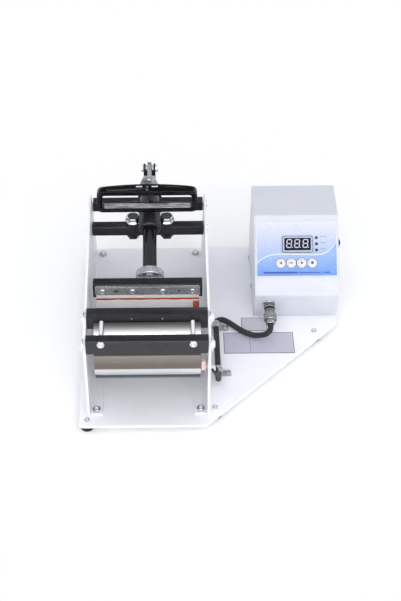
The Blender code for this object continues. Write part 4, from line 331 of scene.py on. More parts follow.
surface("moulded_gloss_black_plastic", "#0b0b0d", 0.12, slot="black_gloss_plastic",
        rough=(RIPPLE, 0.09, 0.18), bumps=(RIPPLE, 0.04, 0.3))
surface("moulded_black_rubber", "#161617", 0.75, slot="black_rubber", bumps=(RUBBER_GRAIN, 0.03))
surface("faded_silicone_rubber", "#e8cfc6", 0.4, bumps=(SILICONE_MOTTLE, 0.03, 0.5))
# White tape, which also paints the bright reflection on the shell's inside above the mat.
surface("glass_tape_and_reflection", "#fbfaf8", 0.3, rough=(CLOTH_THREAD, 0.26, 0.4))
surface("extruded_wire_cover", "#dcd6cd", 0.45, slot="wire_cover", bumps=(RUBBER_GRAIN, 0.02, 0.5))
surface("clear_nylon", "#d9dee0", 0.28, rough=(RIPPLE, 0.22, 0.38), Transmission_Weight=0.55, IOR=1.53)
surface("moulded_pale_plastic", "#d9dade", 0.3, slot="pale_plastic", rough=(RIPPLE, 0.26, 0.36))
surface("moulded_silver_plastic", "#a7adbd", 0.3, 0.35, rough=(RIPPLE, 0.25, 0.36))

tree, shader = surface("red_silicone_rubber", "#b23c27", 0.42, slot="red_silicone", Subsurface_Weight=0.08)
mottle = noise(tree, SILICONE_MOTTLE, (4, 1, 1), 4)
wire(tree, shader, {
    "Base Color": blotched(tree, mottle, "#b23a24", "#d2664a"),
    "Normal": bump(tree, mottle, 0.04, 0.5)})

tree, shader = surface("coated_glass_cloth", "#f4f3f0", 0.36, slot="coated_cloth")
weave = calculate(tree, "MULTIPLY", *(waves(tree, CLOTH_THREAD, way) for way in ("X", "Z")))
wire(tree, shader, {
    "Base Color": mixed(tree, weave, "#efedea", "#faf9f7"),
    "Normal": bump(tree, weave, 0.03, 0.5)})

tree, shader = surface("tinted_display_window", "#1b1e33", 0.09, slot="display_window",
                       Specular_IOR_Level=0.12)
wire(tree, shader, {"Base Color": blotched(tree, noise(tree, RIPPLE), "#15172b", "#1c1f38")})
print(len(FINISH), "finishes so far")

# %% [markdown]
# ## Braided sleeve
#
# The heater's lead runs in a **woven polyester sleeve**. Its strands cross in small diamonds, so
# the pattern follows the tube's own map: one axis runs along the cord and the other round it.
# The strands are drawn wider than real ones, or they would not show.

# %% Braided sleeve
SLEEVE_ROUND, SLEEVE_PITCH = 10, 2.6


def sleeve_finish(length):
    tree, shader = surface("woven_polyester_sleeve", "#1d1d20", 0.55, slot="braided_sleeve")
    split = add_node(tree, "SeparateXYZ", {0: add_node(tree, "TexCoord").outputs["UV"]})
    along = calculate(tree, "MULTIPLY", split.outputs[0], length / SLEEVE_PITCH * tau)
    round_it = calculate(tree, "MULTIPLY", split.outputs[1], SLEEVE_ROUND * tau)
    crossing = [calculate(tree, "SINE", calculate(tree, way, along, round_it)) for way in ("ADD", "SUBTRACT")]
    strands = calculate(tree, "MAXIMUM", *crossing)
    wire(tree, shader, {
        "Base Color": mixed(tree, between(tree, strands, 0, 1, 0.35, 1), "#030304", "#3c3c42"),
        "Normal": bump(tree, strands, 0.25, 0.8)})


# %% [markdown]
# ## Inside finishes
#
# Behind the panel sit a **green circuit board** and a mains transformer. They hardly show, but
# a finish costs little: copper tracks under the lacquer, and the edges of stacked steel plates.

# %% Inside finishes
TRACK_PITCH, PLATE_PITCH = 2.5, 0.7

tree, shader = surface("lacquered_circuit_board", "#123f22", 0.35, slot="circuit_board")
tracks = add_node(tree, "TexBrick", {
    "Vector": coords(tree), "Scale": 1 / (TRACK_PITCH * MM * 4), "Color1": linear("#123f22"),
    "Color2": linear("#16492a"), "Mortar": linear("#2f6b42")})
wire(tree, shader, {"Base Color": tracks.outputs[0]})

tree, shader = surface("stacked_transformer_steel", "#4c4d50", 0.45, 0.8, "transformer_core")
layers = waves(tree, PLATE_PITCH, "Y")
wire(tree, shader, {"Base Color": mixed(tree, layers, "#3a3a3d", "#5d5e62"), "Normal": bump(tree, layers, 0.1)})

# %% [markdown]
# ## The printed label
#
# The panel's label is **screen-printed film**: lavender at the top, a pale wave line across the
# middle, and blue below it. A Mapping node turns the scene's coordinates into millimetres on
# the slope, so the artwork is written in real sizes. A Float Curve draws the wave.

# %% Printed label
LABEL_LOW, LABEL_HIGH = Vector((131.0, 23.5)), Vector((229.0, 90.5))
UPPER_FADE, LOWER_FADE, SIDE_FADE = (46, 90), (23, 50), (175, 229)
WAVE_WIDTH, WAVE_SPAN = 0.55, 45.0
WAVE_SHARES = ((0.0, 0.31), (0.09, 0.51), (0.22, 0.6), (0.36, 0.605), (0.58, 0.595), (0.78, 0.59),
               (0.86, 0.64), (0.94, 0.78), (1.0, 0.99))

tree, shader = surface("printed_label_film", "#a9c1f2", 0.26, slot="label_film", rough=(RIPPLE, 0.22, 0.3))
on_panel = add_node(tree, "Mapping", {
    "Vector": coords(tree), "Location": PANEL.to_translation(), "Rotation": (SLOPE, 0, 0),
    "Scale": (MM, MM, MM)}, vector_type="TEXTURE")
across, up, _ = add_node(tree, "SeparateXYZ", {0: on_panel.outputs[0]}).outputs
wave = add_node(tree, "FloatCurve", {"Value": between(tree, across, 0, 1, LABEL_LOW.x, LABEL_HIGH.x)})
points = wave.mapping.curves[0].points
for share, rise in WAVE_SHARES[1:-1]:
    points.new(share, rise)
points[0].location, points[-1].location = WAVE_SHARES[0], WAVE_SHARES[-1]
wave.mapping.update()
wave_at = calculate(tree, "MULTIPLY_ADD", wave.outputs[0], WAVE_SPAN, LABEL_LOW.y)
over_wave = calculate(tree, "SUBTRACT", up, wave_at)
upper = mixed(tree, between(tree, up, 0, 1, *UPPER_FADE), "#9fb2d8", "#d6d6e4")
lower = mixed(tree, between(tree, up, 0, 1, *LOWER_FADE), "#5789d6", "#9cb6dc")
lower = mixed(tree, between(tree, across, 0, 0.35, *SIDE_FADE), lower, "#6f9bd9")
field = mixed(tree, calculate(tree, "GREATER_THAN", over_wave, 0.0), lower, upper)
line = between(tree, calculate(tree, "ABSOLUTE", over_wave), 1, 0, WAVE_WIDTH * 0.6, WAVE_WIDTH * 1.3)
wire(tree, shader, {"Base Color": mixed(tree, line, field, "#dfe3ea")})

for ink, color in (("navy_print", "#2d4f95"), ("grey_print", "#8d93a6"), ("dark_outline_print", "#4a4c56"),
                   ("white_print", "#dcdee2")):
    surface(ink, color, 0.35, rough=(RIPPLE, 0.3, 0.4))
print("label film with a wave of", len(WAVE_SHARES), "points")

# %% [markdown]
# ## Helpers for shapes
#
# A shape is a bmesh in millimetres. `lathe` spins a profile, as a lathe turns a bar. `slab`
# gives a flat outline its thickness, as a sheet is cut. `block` is a cube with its size set, and
# `repeated` copies a shape to many places. `keep` turns a shape into an object, puts it in its
# place, eases its sharp edges with a Bevel modifier and lets it ride on its CAD body.

# %% Shape helpers
STEPS, CORNER_STEPS, WELD = 48, 5, 0.001
BEVEL_FROM, SHARP_FROM = radians(30), radians(32)


def corners_in(geometry):
    return [part for part in geometry if isinstance(part, bmesh.types.BMVert)]


def lathe(profile, steps=STEPS):
    work = bmesh.new()
    verts = [work.verts.new((radius, 0, height)) for radius, height in profile]
    edges = [work.edges.new(pair) for pair in zip(verts, verts[1:])]
    bmesh.ops.spin(work, geom=verts + edges, cent=(0, 0, 0), axis=(0, 0, 1), angle=tau, steps=steps,
                   use_merge=True)
    bmesh.ops.remove_doubles(work, verts=work.verts, dist=WELD)
    bmesh.ops.recalc_face_normals(work, faces=work.faces)
    return work


def slab(outline, low, high):
    work = bmesh.new()
    face = work.faces.new([work.verts.new((x, y, low)) for x, y in outline])
    raised = bmesh.ops.extrude_face_region(work, geom=[face])["geom"]
    bmesh.ops.translate(work, vec=(0, 0, high - low), verts=corners_in(raised))
    bmesh.ops.recalc_face_normals(work, faces=work.faces)
    return work


def block(low, high):
    low, high = Vector(low), Vector(high)
    work = bmesh.new()
    bmesh.ops.create_cube(work, size=1)
    bmesh.ops.scale(work, vec=high - low, verts=work.verts)
    bmesh.ops.translate(work, vec=(low + high) / 2, verts=work.verts)
    return work


def polygon(radius, count, turned_by=0.0, centre=(0, 0)):
    turns = [turned_by + tau * i / count for i in range(count)]
    return [(centre[0] + radius * cos(t), centre[1] + radius * sin(t)) for t in turns]


def toothed(radius, depth, teeth):
    """An outline whose corners lie on the radius and under it by turns."""
    corners = [(radius - depth * (i % 2), tau * i / (2 * teeth)) for i in range(2 * teeth)]
    return [(r * cos(t), r * sin(t)) for r, t in corners]


def rounded(corners, radius):
    """A convex outline with an arc in place of each corner."""
    points = []
    for i, corner in enumerate(corners):
        here = Vector(corner)
        before = (Vector(corners[i - 1]) - here).normalized()
        after = (Vector(corners[(i + 1) % len(corners)]) - here).normalized()
        half = before.angle(after) / 2
        centre = here + (before + after).normalized() * (radius / sin(half))
        first, last = (here + way * (radius * cos(half) / sin(half)) - centre for way in (before, after))
        swing = first.angle_signed(last)
        points += [centre + Matrix.Rotation(-swing * step / CORNER_STEPS, 2) @ first
                   for step in range(CORNER_STEPS + 1)]
    return points


def rectangle(width, height, centre=(0, 0), radius=0.0):
    x, y, wide, tall = centre[0], centre[1], width / 2, height / 2
    corners = [(x - wide, y - tall), (x + wide, y - tall), (x + wide, y + tall), (x - wide, y + tall)]
    return rounded(corners, radius) if radius else corners


def moved(shape, *places):
    for place in places:
        bmesh.ops.transform(shape, matrix=place, verts=shape.verts)
    return shape


def joined(*shapes):
    work = bmesh.new()
    for shape in shapes:
        mesh = bpy.data.meshes.new("part")
        shape.to_mesh(mesh)
        shape.free()
        work.from_mesh(mesh)
        bpy.data.meshes.remove(mesh)
    return work


def repeated(shape, places):
    copies = [moved(shape.copy(), place) for place in places]
    shape.free()
    return joined(*copies)


def shift(x=0.0, y=0.0, z=0.0):
    return Matrix.Translation((x, y, z))


def facing(location, direction):
    return Matrix.Translation(location) @ Vector(direction).to_track_quat("Z", "Y").to_matrix().to_4x4()


def hand_over(made, body="frame", nodes=()):
    if nodes:
        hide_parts(*nodes)
    if body:
        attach(made, body)
    return made


def keep(name, shape, slot, body="frame", place=PRESS, nodes=(), edge=0.0, finish=None):
    mesh = bpy.data.meshes.new(name)
    moved(shape, place).to_mesh(mesh)
    shape.free()
    mesh.materials.append(FINISH[finish or slot])
    mesh.shade_smooth()
    made = add_object(name, mesh)
    if edge:
        soft = made.modifiers.new("Edge", "BEVEL")
        soft.width, soft.segments = edge * MM, 2
        soft.limit_method, soft.angle_limit = "ANGLE", BEVEL_FROM
        soft.use_clamp_overlap, soft.harden_normals = False, True
    else:
        mesh.set_sharp_from_angle(angle=SHARP_FROM)
    return hand_over(made, body, nodes)


# %% [markdown]
# ## Sheet steel and bars
#
# Folded and cut steel has no knife edges: the punch and the paint round them, and those thin
# rounds catch the light. The CAD solids already have the right outlines and holes, so each is
# copied, its loose triangles are welded, its flat faces are joined up, and a Bevel modifier
# eases what is sharp. The bevels stay narrow, because a wide one folds over the short edges of
# round corners. Wide flats are shaded flat, so that no corner can tilt their light.

# %% Sheet steel and bars
SHEET_EDGE, PLATE_EDGE, BAR_EDGE, WIDE_FLAT = 0.35, 0.1, 0.2, 1500.0
CAD_WELD, CAD_SLIVER = 0.01, 0.02


def eased(node, edge, finish=None):
    work = bmesh.new()
    work.from_mesh(NODES[node].data)
    bmesh.ops.remove_doubles(work, verts=work.verts, dist=CAD_WELD * MM)
    bmesh.ops.dissolve_limit(work, angle_limit=radians(1), verts=work.verts, edges=work.edges)
    bmesh.ops.dissolve_degenerate(work, dist=CAD_SLIVER * MM, edges=work.edges)
    made = keep(node + "_eased", work, SLOT_OF[node], BODY_OF[node], Matrix.Identity(4), [node], edge, finish)
    for face in made.data.polygons:
        face.use_smooth = face.area < WIDE_FLAT * MM * MM


eased("base_plate", SHEET_EDGE)
for node in ("left_side_plate", "right_side_plate"):
    eased(node, PLATE_EDGE)
# The box takes the greyer copy of the powder coat, which paints shade on it.
for node in ("control_box_cover", "control_box_back"):
    eased(node, SHEET_EDGE, "painted_shade_box_coat")
for node in ("front_clamp_bar", "heater_anchor_bar", "lower_rear_crossbar", "upper_rear_crossbar", "jaw_bar"):
    eased(node, BAR_EDGE)

# %% [markdown]
# ## Rubber feet
#
# A foot is a moulded bumper with a rounded toe and a recess for its screw. A lathe profile
# gives all of that, and one object carries the five copies.

# %% Rubber feet
FOOT_PROFILE = ((3.4, -0.3), (9.0, -0.3), (9.0, -2.0), (8.6, -5.5), (8.1, -7.3), (7.3, -8.0), (4.4, -8.0),
                (4.0, -7.6), (4.0, -4.2), (0.0, -4.2))
FOOT_SCREW = ((3.2, -5.2), (3.2, -6.0), (2.2, -6.9), (1.3, -6.9), (1.1, -6.0), (0.0, -6.0))
FEET = ("front_left_foot", "front_foot", "right_foot", "rear_right_foot", "rear_left_foot")


def middle_of(node):
    low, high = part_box(node)
    return PRESS.inverted() @ ((low + high) / 2)


foot_places = [shift(*middle_of(node).xy, -BASE_THICK) for node in FEET]
keep("rubber_feet", repeated(lathe(FOOT_PROFILE), foot_places), "black_rubber", nodes=FEET)
keep("foot_screws_below", repeated(lathe(FOOT_SCREW, 24), foot_places), "zinc_plate")

# %% [markdown]
# ## Screws and bolts
#
# A screw head is what the eye finds first on sheet metal. Domed heads have a hexagon socket,
# hexagon heads have a chamfered crown over a washer. Each head is made once and copied to its
# places, a hair larger than the plain head in the CAD solid that it covers.

# %% Screws and bolts
HAIR = 0.12


def domed_head(radius, height, socket_share=0.42):
    """A button head with a round socket."""
    radius, height = radius + HAIR, height + HAIR
    socket = radius * socket_share
    work = lathe([(radius, -0.2), (radius, height * 0.3), (radius * 0.93, height * 0.62),
                  (radius * 0.78, height * 0.87), (radius * 0.6, height), (socket * 1.16, height),
                  (socket, height * 0.9)], 24)
    rim = [edge for edge in work.edges if edge.is_boundary and edge.verts[0].co.z > height * 0.5]
    sunk = bmesh.ops.extrude_edge_only(work, edges=rim)["geom"]
    bmesh.ops.translate(work, vec=(0, 0, -height * 0.5), verts=corners_in(sunk))
    floor = [part for part in sunk if isinstance(part, bmesh.types.BMEdge) and part.is_boundary]
    bmesh.ops.contextual_create(work, geom=floor)
    return work


def hexagon_head(radius, height, seat):
    """A hexagon with a chamfered crown, standing on its seat."""
    radius, height = radius + HAIR, height + HAIR
    body = slab(polygon(radius, 6), seat - 0.2, seat + height * 0.84)
    crown = lathe([(0, seat + height), (radius * 0.78, seat + height), (radius * 0.93, seat + height * 0.8),
                   (0, seat + height * 0.8)], 24)
    return joined(body, crown)


def washer(radius, thick):
    radius += HAIR
    return lathe([(0, thick), (radius - 0.3, thick), (radius, thick - 0.3), (radius, 0), (0, 0)], 32)


def heads(name, radius, height, places, slot="zinc_plate", body="frame", edge=0.0):
    keep(name, repeated(domed_head(radius, height), places), slot, body, edge=edge)
    print(len(places), name.replace("_", " "))


HALF_WIDTH, SEAT_Z, FLANGE_X, HEAD_EDGE = 70.0, 2.8, 60, 0.12
FRONT_ENDS, REAR_ENDS = ((18.1, 113.9), (54.9, 118.5)), ((227.8, 101.1), (262.0, 110.7))
flange_places = [shift(side * FLANGE_X, y, SEAT_Z) for side in (-1, 1) for y in (22.5, 291.0)]
heads("flange_bolts", 4.6, 3.0, flange_places, edge=HEAD_EDGE)
heads("base_screws", 3.0, 1.8, [shift(*middle_of(node).xy) for node in FEET[:4]])
front_ends, rear_ends = ([facing((side * HALF_WIDTH, *end), (side, 0, 0)) for side in (-1, 1) for end in ends]
                         for ends in (FRONT_ENDS, REAR_ENDS))
keep("side_bolts", repeated(joined(washer(8.2, 1.4), domed_head(5.0, 4.4)), front_ends), "chrome_plate",
     edge=0.15)
heads("rear_side_bolts", 4.6, 3.0, rear_ends, "chrome_plate", edge=HEAD_EDGE)
heads("box_screws", 3.0, 1.8, [facing((wall, y, 12.3), (side, 0, 0))
                               for side, wall in ((-1, BOX_LEFT), (1, BOX_RIGHT)) for y in (218.1, 271.3)])

# %% [markdown]
# ## Heater clamp screws
#
# Two long screws cross from the front bar to the anchor bar and pull the wrap tight. Their
# threads show over the shell, so the shank's profile has a ring for every thread. A real thread
# is a spiral, but at this size rings look the same and make a far lighter mesh.

# %% Heater clamp screws
SCREW_X, SCREW_Y, SCREW_Z, RIVET_X = 50.5, 12.3, 120.5, 17.0
SCREW_R, SCREW_REACH, THREAD_PITCH, THREAD_START, THREAD_DEEP = 2.4, 36.9, 0.8, 13.0, 0.3

threads = int((SCREW_REACH - 2.0 - THREAD_START) / THREAD_PITCH)
shank = [(SCREW_R, 0.0), (SCREW_R, THREAD_START)]
shank += [(SCREW_R - THREAD_DEEP * (i % 2), THREAD_START + i * THREAD_PITCH / 2)
          for i in range(2 * threads + 1)]
shank += [(SCREW_R - 0.1, SCREW_REACH - 1.6), (SCREW_R - 0.8, SCREW_REACH - 0.5),
          (SCREW_R - 1.6, SCREW_REACH), (0.0, SCREW_REACH)]
for side, node in ((-1, "left_heater_clamp_screw"), (1, "right_heater_clamp_screw")):
    place = facing((side * SCREW_X, SCREW_Y, SCREW_Z), (0, -1, 0))
    stem = moved(lathe(shank, 24), Matrix.Rotation(pi, 4, "X"))
    keep(node + "_turned", moved(joined(domed_head(4.4, 2.4), stem), place), "chrome_plate", nodes=[node])
heads("anchor_bar_rivets", 0.9, 0.4, [facing((x, 49.4, 122.6), (0, -1, 0)) for x in (-RIVET_X, RIVET_X)])

# %% [markdown]
# ## The heated wrap
#
# Shell, silicone mat and cloth are three bands bent round the mug. Each is swept: a strip the
# width of the wrap is spun round the mug's axis and then drawn straight up at the rear, where
# the jaw holds it. The jaw moves and the front edge doesn't. Each band is one piece here and
# rides on neither body.

# %% The heated wrap
WRAP_HALF, WRAP_STEPS, WRAP_STRIPS = 59.5, 84, 24
SHELL_R, SHELL_THICK, MAT_THICK, LINER_THICK, GAP = 48.0, 0.8, 3.2, 0.6, 0.3
SHELL_START, MAT_START = radians(116.3), radians(120.5)
SHELL_TOP, MAT_TOP, LINER_TOP = 109.0, 90.0, 90.6
EDGE_WAVE, TAPE_Y, TAPE_Z = 0.35, (116.0, 116.8), (90.8, 96.7)


def wrap_band(radius, thick, start, top, wave):
    """A strip at its start angle, spun round the mug and drawn up to its top edge."""
    work = bmesh.new()
    bmesh.ops.create_grid(work, x_segments=WRAP_STRIPS, y_segments=1, size=0.5)
    bmesh.ops.scale(work, vec=(2 * WRAP_HALF, thick, 1), verts=work.verts)
    bmesh.ops.translate(work, vec=(0, radius - thick / 2, 0), verts=work.verts)
    bmesh.ops.rotate(work, matrix=Matrix.Rotation(start, 3, "X"), cent=(0, 0, 0), verts=work.verts)
    swept = bmesh.ops.spin(work, geom=work.verts[:] + work.edges[:] + work.faces[:], cent=(0, 0, 0),
                           axis=(1, 0, 0), angle=tau - start, steps=WRAP_STEPS)["geom_last"]
    end = [part for part in swept if isinstance(part, bmesh.types.BMFace)]
    for vert in corners_in(bmesh.ops.extrude_face_region(work, geom=end)["geom"]):
        ripple = wave * (sin(vert.co.x / 7) + sin(vert.co.x / 3.1 + 1)) / 2
        vert.co.z = top - MUG_Z + ripple
    bmesh.ops.delete(work, geom=end, context="FACES")
    bmesh.ops.remove_doubles(work, verts=work.verts, dist=WELD)
    bmesh.ops.recalc_face_normals(work, faces=work.faces)
    return moved(work, shift(0, MUG_Y, MUG_Z))


mat_r = SHELL_R - SHELL_THICK - GAP
liner_r = mat_r - MAT_THICK - GAP
for name, slot, edge, *form in (
        ("heater_shell", "stainless_steel", 0.2, SHELL_R, SHELL_THICK, SHELL_START, SHELL_TOP, 0.0),
        ("heater_mat", "red_silicone", 0.5, mat_r, MAT_THICK, MAT_START, MAT_TOP, EDGE_WAVE),
        ("heater_liner", "coated_cloth", 0.15, liner_r, LINER_THICK, MAT_START, LINER_TOP, EDGE_WAVE)):
    band = keep(name, wrap_band(*form), slot, None, nodes=[name + "_front", name + "_rear"], edge=edge)
    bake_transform(band)
eased("temperature_sensor_pad", 0.2)
eased("heater_lead_tab", 0.2, "faded_silicone_rubber")
# A white tape along the wrap's rear edge; it also paints the bright reflection that the shell's inner face shows
# between the jaw strip and the mat.
tape = block((-WRAP_HALF, TAPE_Y[0], TAPE_Z[0]), (WRAP_HALF, TAPE_Y[1], TAPE_Z[1]))
keep("wrap_tape_and_reflection", tape, "coated_cloth", "plunger", edge=0.15, finish="glass_tape_and_reflection")
print("wrap radii", SHELL_R, round(mat_r, 1), round(liner_r, 1), "mm")

# %% [markdown]
# ## Jaw strip
#
# A flat zinc strip clamps the wrap's moving edge to the jaw bar with four domed screws. Small
# spare holes show between them, so they are dark discs let into the face.

# %% Jaw strip
JAW_FRONT_Y, STRIP_Z, HOLE_R, HOLE_RISE = 114.9, 103.0, 1.25, 0.06
STRIP_SCREW_X, SPARE_HOLE_X = (-52.0, -17.5, 17.5, 52.0), (-37.6, -34.2, 36.3)

eased("jaw_clamp_strip", 0.25)
strip_screws, spare_holes = ([facing((x, JAW_FRONT_Y, STRIP_Z), (0, -1, 0)) for x in row]
                             for row in (STRIP_SCREW_X, SPARE_HOLE_X))
heads("jaw_strip_screws", 3.4, 2.0, strip_screws, "chrome_plate", "plunger")
hole_disc = lathe([(0, HOLE_RISE), (HOLE_R, HOLE_RISE), (HOLE_R, 0), (0, 0)], 20)
keep("jaw_strip_spare_holes", repeated(hole_disc, spare_holes), "black_paint", "plunger")

# %% [markdown]
# ## Plunger, pressure nut and socket
#
# The tube slides in the clamp's barrel. In front of it sits the knurled nut that sets the
# pressure, and in front of that the plated socket that carries the jaw. All are turned, so each
# is a lathe profile along the clamp's tilted axis. The knurl is a slab with a toothed outline.

# %% Plunger, pressure nut and socket
NUT_FRONT, NUT_THICK, NUT_R, NUT_BORE, KNURLS, KNURL_DEEP = 74.1, 9.6, 16.3, 4.3, 44, 0.7
TUBE_R, TUBE_START, TUBE_END, ROD_R, ROD_END = 8.25, 84.0, 152.8, 4.4, 160.0
STUD_R, STUD_START, LINK_FRONT, TANG_HALF, PIN_R, PIN_HALF = 4.0, 68.8, 166.25, 4.2, 2.5, 4.6
SOCKET_PLATE_Y, SOCKET_SCREW_X = 134.6, 9.8
ALONG_CLAMP = CLAMP @ ALONG_Y

tube = [(0, STUD_START), (STUD_R, STUD_START), (STUD_R, TUBE_START), (TUBE_R - 0.9, TUBE_START),
        (TUBE_R, TUBE_START + 0.9), (TUBE_R, TUBE_END), (ROD_R, TUBE_END), (ROD_R, ROD_END), (0, ROD_END)]
tang_line = [(150, -TANG_HALF), (169.5, -TANG_HALF), (169.5, TANG_HALF), (150, TANG_HALF)]
tang = moved(slab(rounded(tang_line, 3.0), -2.5, 2.5), SIDEWAYS)
pin = moved(lathe([(0, -PIN_HALF), (PIN_R, -PIN_HALF), (PIN_R, PIN_HALF), (0, PIN_HALF)], 24),
            shift(0, LINK_FRONT, 0) @ Matrix.Rotation(pi / 2, 4, "Y"))
keep("plunger_tube_turned", joined(moved(lathe(tube), ALONG_Y), tang, pin), "black_paint", "plunger", CLAMP,
     ["plunger_tube"], 0.25, "gloss_black_paint")

front, back = NUT_FRONT, NUT_FRONT + NUT_THICK
nut_body = slab(toothed(NUT_R, KNURL_DEEP, KNURLS), front + 1.2, back - 1.2)
nut_rims = lathe([(NUT_BORE, front + 2.2), (10.5, front + 2.2), (11.0, front + 0.4), (13.2, front),
                  (NUT_R - 1.2, front), (NUT_R - 0.6, front + 1.3), (NUT_R - 0.9, front + 2.0),
                  (NUT_R - 0.9, back - 2.0), (NUT_R - 0.6, back - 1.3), (NUT_R - 1.8, back),
                  (NUT_BORE, back), (NUT_BORE, front + 2.2)], 64)
nut_hub = lathe([(NUT_BORE, front - 1.6), (10.0, front - 1.6), (10.5, front - 1.1), (10.5, front + 3.0),
                 (NUT_BORE, front + 3.0), (NUT_BORE, front - 1.6)])
keep("pressure_nut_knurled", joined(nut_body, nut_rims, nut_hub), "zinc_plate", "pressure_nut", ALONG_CLAMP,
     ["pressure_nut"])

socket_plate = moved(slab(rectangle(30.0, 18.8, (CLAMP_X, 100.0), 2.5), 0, 4.0),
                     shift(0, SOCKET_PLATE_Y, 0) @ Matrix.Rotation(pi / 2, 4, "X"))
keep("jaw_socket_plate", socket_plate, "zinc_plate", "plunger", edge=0.4, nodes=["jaw_socket"])
boss = [(NUT_BORE, 66.6), (7.2, 66.6), (7.2, 69.6), (6.7, 70.1), (6.7, 70.6), (7.2, 71.1), (7.2, 71.9),
        (6.9, 72.2), (NUT_BORE, 72.2)]
keep("jaw_socket_boss", lathe(boss), "chrome_plate", "plunger", ALONG_CLAMP)
socket_screws = [facing((CLAMP_X + x, SOCKET_PLATE_Y, 101.5), (0, 1, 0)) for x in (-SOCKET_SCREW_X, SOCKET_SCREW_X)]
heads("jaw_socket_screws", 3.2, 2.0, socket_screws, "chrome_plate", "plunger")

# %% [markdown]
# ## Clamp housing
#
# The housing is a steel barrel with two cheeks behind it and two feet that bolt to the
# crossbars. The barrel is a hollow lathe profile, the cheeks and feet are slabs, and the small
# overlaps stand for the welds. The cheeks begin well back, clear of the tube at full lift.

# %% Clamp housing
HOUSING_FRONT, HOUSING_REAR, BARREL_R, BARREL_REAR_R, BORE_R = 141.8, 187.0, 13.2, 11.6, 8.6
PIVOT, EAR_R, CHEEK_IN, CHEEK_OUT, CHEEK_FRONT = 231.25, 6.0, 4.9, 7.3, 185.4
TROUGH_FRONT, TROUGH_REAR, TROUGH_LOW, TROUGH_TOP, EAR_FOOT = 183.0, 240.25, -13.4, -9.4, -5.2
PAD_DEEP, PAD_THICK, PAD_CORNER = 16.0, 5.5, 7.5
FRONT_PAD, REAR_PAD = (58.0, 227.8, 107.9), (29.0, 262.0, 117.5)

cheek_line = [(CHEEK_FRONT, TROUGH_LOW), (CHEEK_FRONT, 5.0), (203.25, 5.0), (205.75, EAR_FOOT),
              (PIVOT - EAR_R, EAR_FOOT)]
cheek_line += [(PIVOT + EAR_R * cos(pi - pi * i / 12), EAR_R * sin(pi - pi * i / 12)) for i in range(13)]
cheek_line += [(PIVOT + EAR_R, EAR_FOOT), (TROUGH_REAR, TROUGH_TOP), (TROUGH_REAR, TROUGH_LOW)]
barrel = [(BORE_R, HOUSING_FRONT), (BARREL_R - 1.6, HOUSING_FRONT), (BARREL_R, HOUSING_FRONT + 1.6),
          (BARREL_R, HOUSING_FRONT + 13.2), (BARREL_REAR_R, HOUSING_REAR), (BORE_R, HOUSING_REAR),
          (BORE_R, HOUSING_FRONT)]
cheeks = [moved(slab(cheek_line, *span), SIDEWAYS) for span in ((-CHEEK_OUT, -CHEEK_IN), (CHEEK_IN, CHEEK_OUT))]
trough = block((-CHEEK_OUT, TROUGH_FRONT, TROUGH_LOW), (CHEEK_OUT, TROUGH_REAR, TROUGH_TOP))
keep("clamp_housing_barrel", joined(moved(lathe(barrel, 64), ALONG_Y), *cheeks, trough), "black_paint",
     place=CLAMP, nodes=["clamp_housing"], edge=0.5)
pads = [slab(rectangle(wide, PAD_DEEP, (CLAMP_X, y), PAD_CORNER), z, z + PAD_THICK)
        for wide, y, z in (FRONT_PAD, REAR_PAD)]
keep("clamp_housing_feet", joined(*pads), "black_paint", edge=0.8)

# %% [markdown]
# ## Clamp bolts
#
# Four plated hexagon bolts hold the housing to the crossbars. The front pair goes down through
# the wide foot, with a washer above and a nut below. The rear pair is screwed up into the narrow
# foot from under the bar. Each bolt is a crown, a washer and a turned shank in one object.

# %% Clamp bolts
BOLT_HEAD_R, BOLT_HEAD, BOLT_R, BOLT_WASHER_R, BOLT_WASHER, BOLT_EDGE = 8.1, 5.6, 4.0, 9.0, 1.4, 0.25
FRONT_BOLT_X, FRONT_SHANK, REAR_BOLT_X, REAR_SHANK, REAR_SEAT_Z = 20.5, 24.4, 8.6, 17.2, 103.9


def clamp_bolt(shank):
    stem = lathe([(0, -shank), (BOLT_R - 0.5, -shank), (BOLT_R, 0.5 - shank), (BOLT_R, 0.5), (0, 0.5)], 24)
    return joined(washer(BOLT_WASHER_R, BOLT_WASHER), hexagon_head(BOLT_HEAD_R, BOLT_HEAD, BOLT_WASHER), stem)


for side, hand in ((-1, "left"), (1, "right")):
    nut = slab(polygon(BOLT_HEAD_R, 6), 0.3 - FRONT_SHANK, 5.0 - FRONT_SHANK)
    seat = shift(CLAMP_X + side * FRONT_BOLT_X, FRONT_PAD[1], FRONT_PAD[2] + PAD_THICK + 0.3)
    under = facing((CLAMP_X + side * REAR_BOLT_X, REAR_PAD[1], REAR_SEAT_Z), (0, 0, -1))
    for end, kind, shape, place, slot in (
            ("front", "bolt_plated", clamp_bolt(FRONT_SHANK), seat, "chrome_plate"),
            ("front", "nut_blacked", nut, seat, "black_paint"),
            ("rear", "bolt_plated", clamp_bolt(REAR_SHANK), under, "chrome_plate")):
        keep(f"{end}_{hand}_{kind}", moved(shape, place), slot, nodes=[f"{end}_{hand}_clamp_bolt"],
             edge=BOLT_EDGE)

# %% [markdown]
# ## Lever, links and pivot
#
# The lever is a cast arm that turns between the housing's ears, and its CAD outline is copied
# and eased. Two black links join its crank to the plunger. A link is a flat bar with round
# ends, as a press punches it, and a thick boss at the crank holds the bright rivet.

# %% Lever, links and pivot
CRANK_AT, LINK_R, LINK_IN, LINK_OUT, BOSS_OUT = 211.25, 4.3, 2.8, 4.6, 6.7

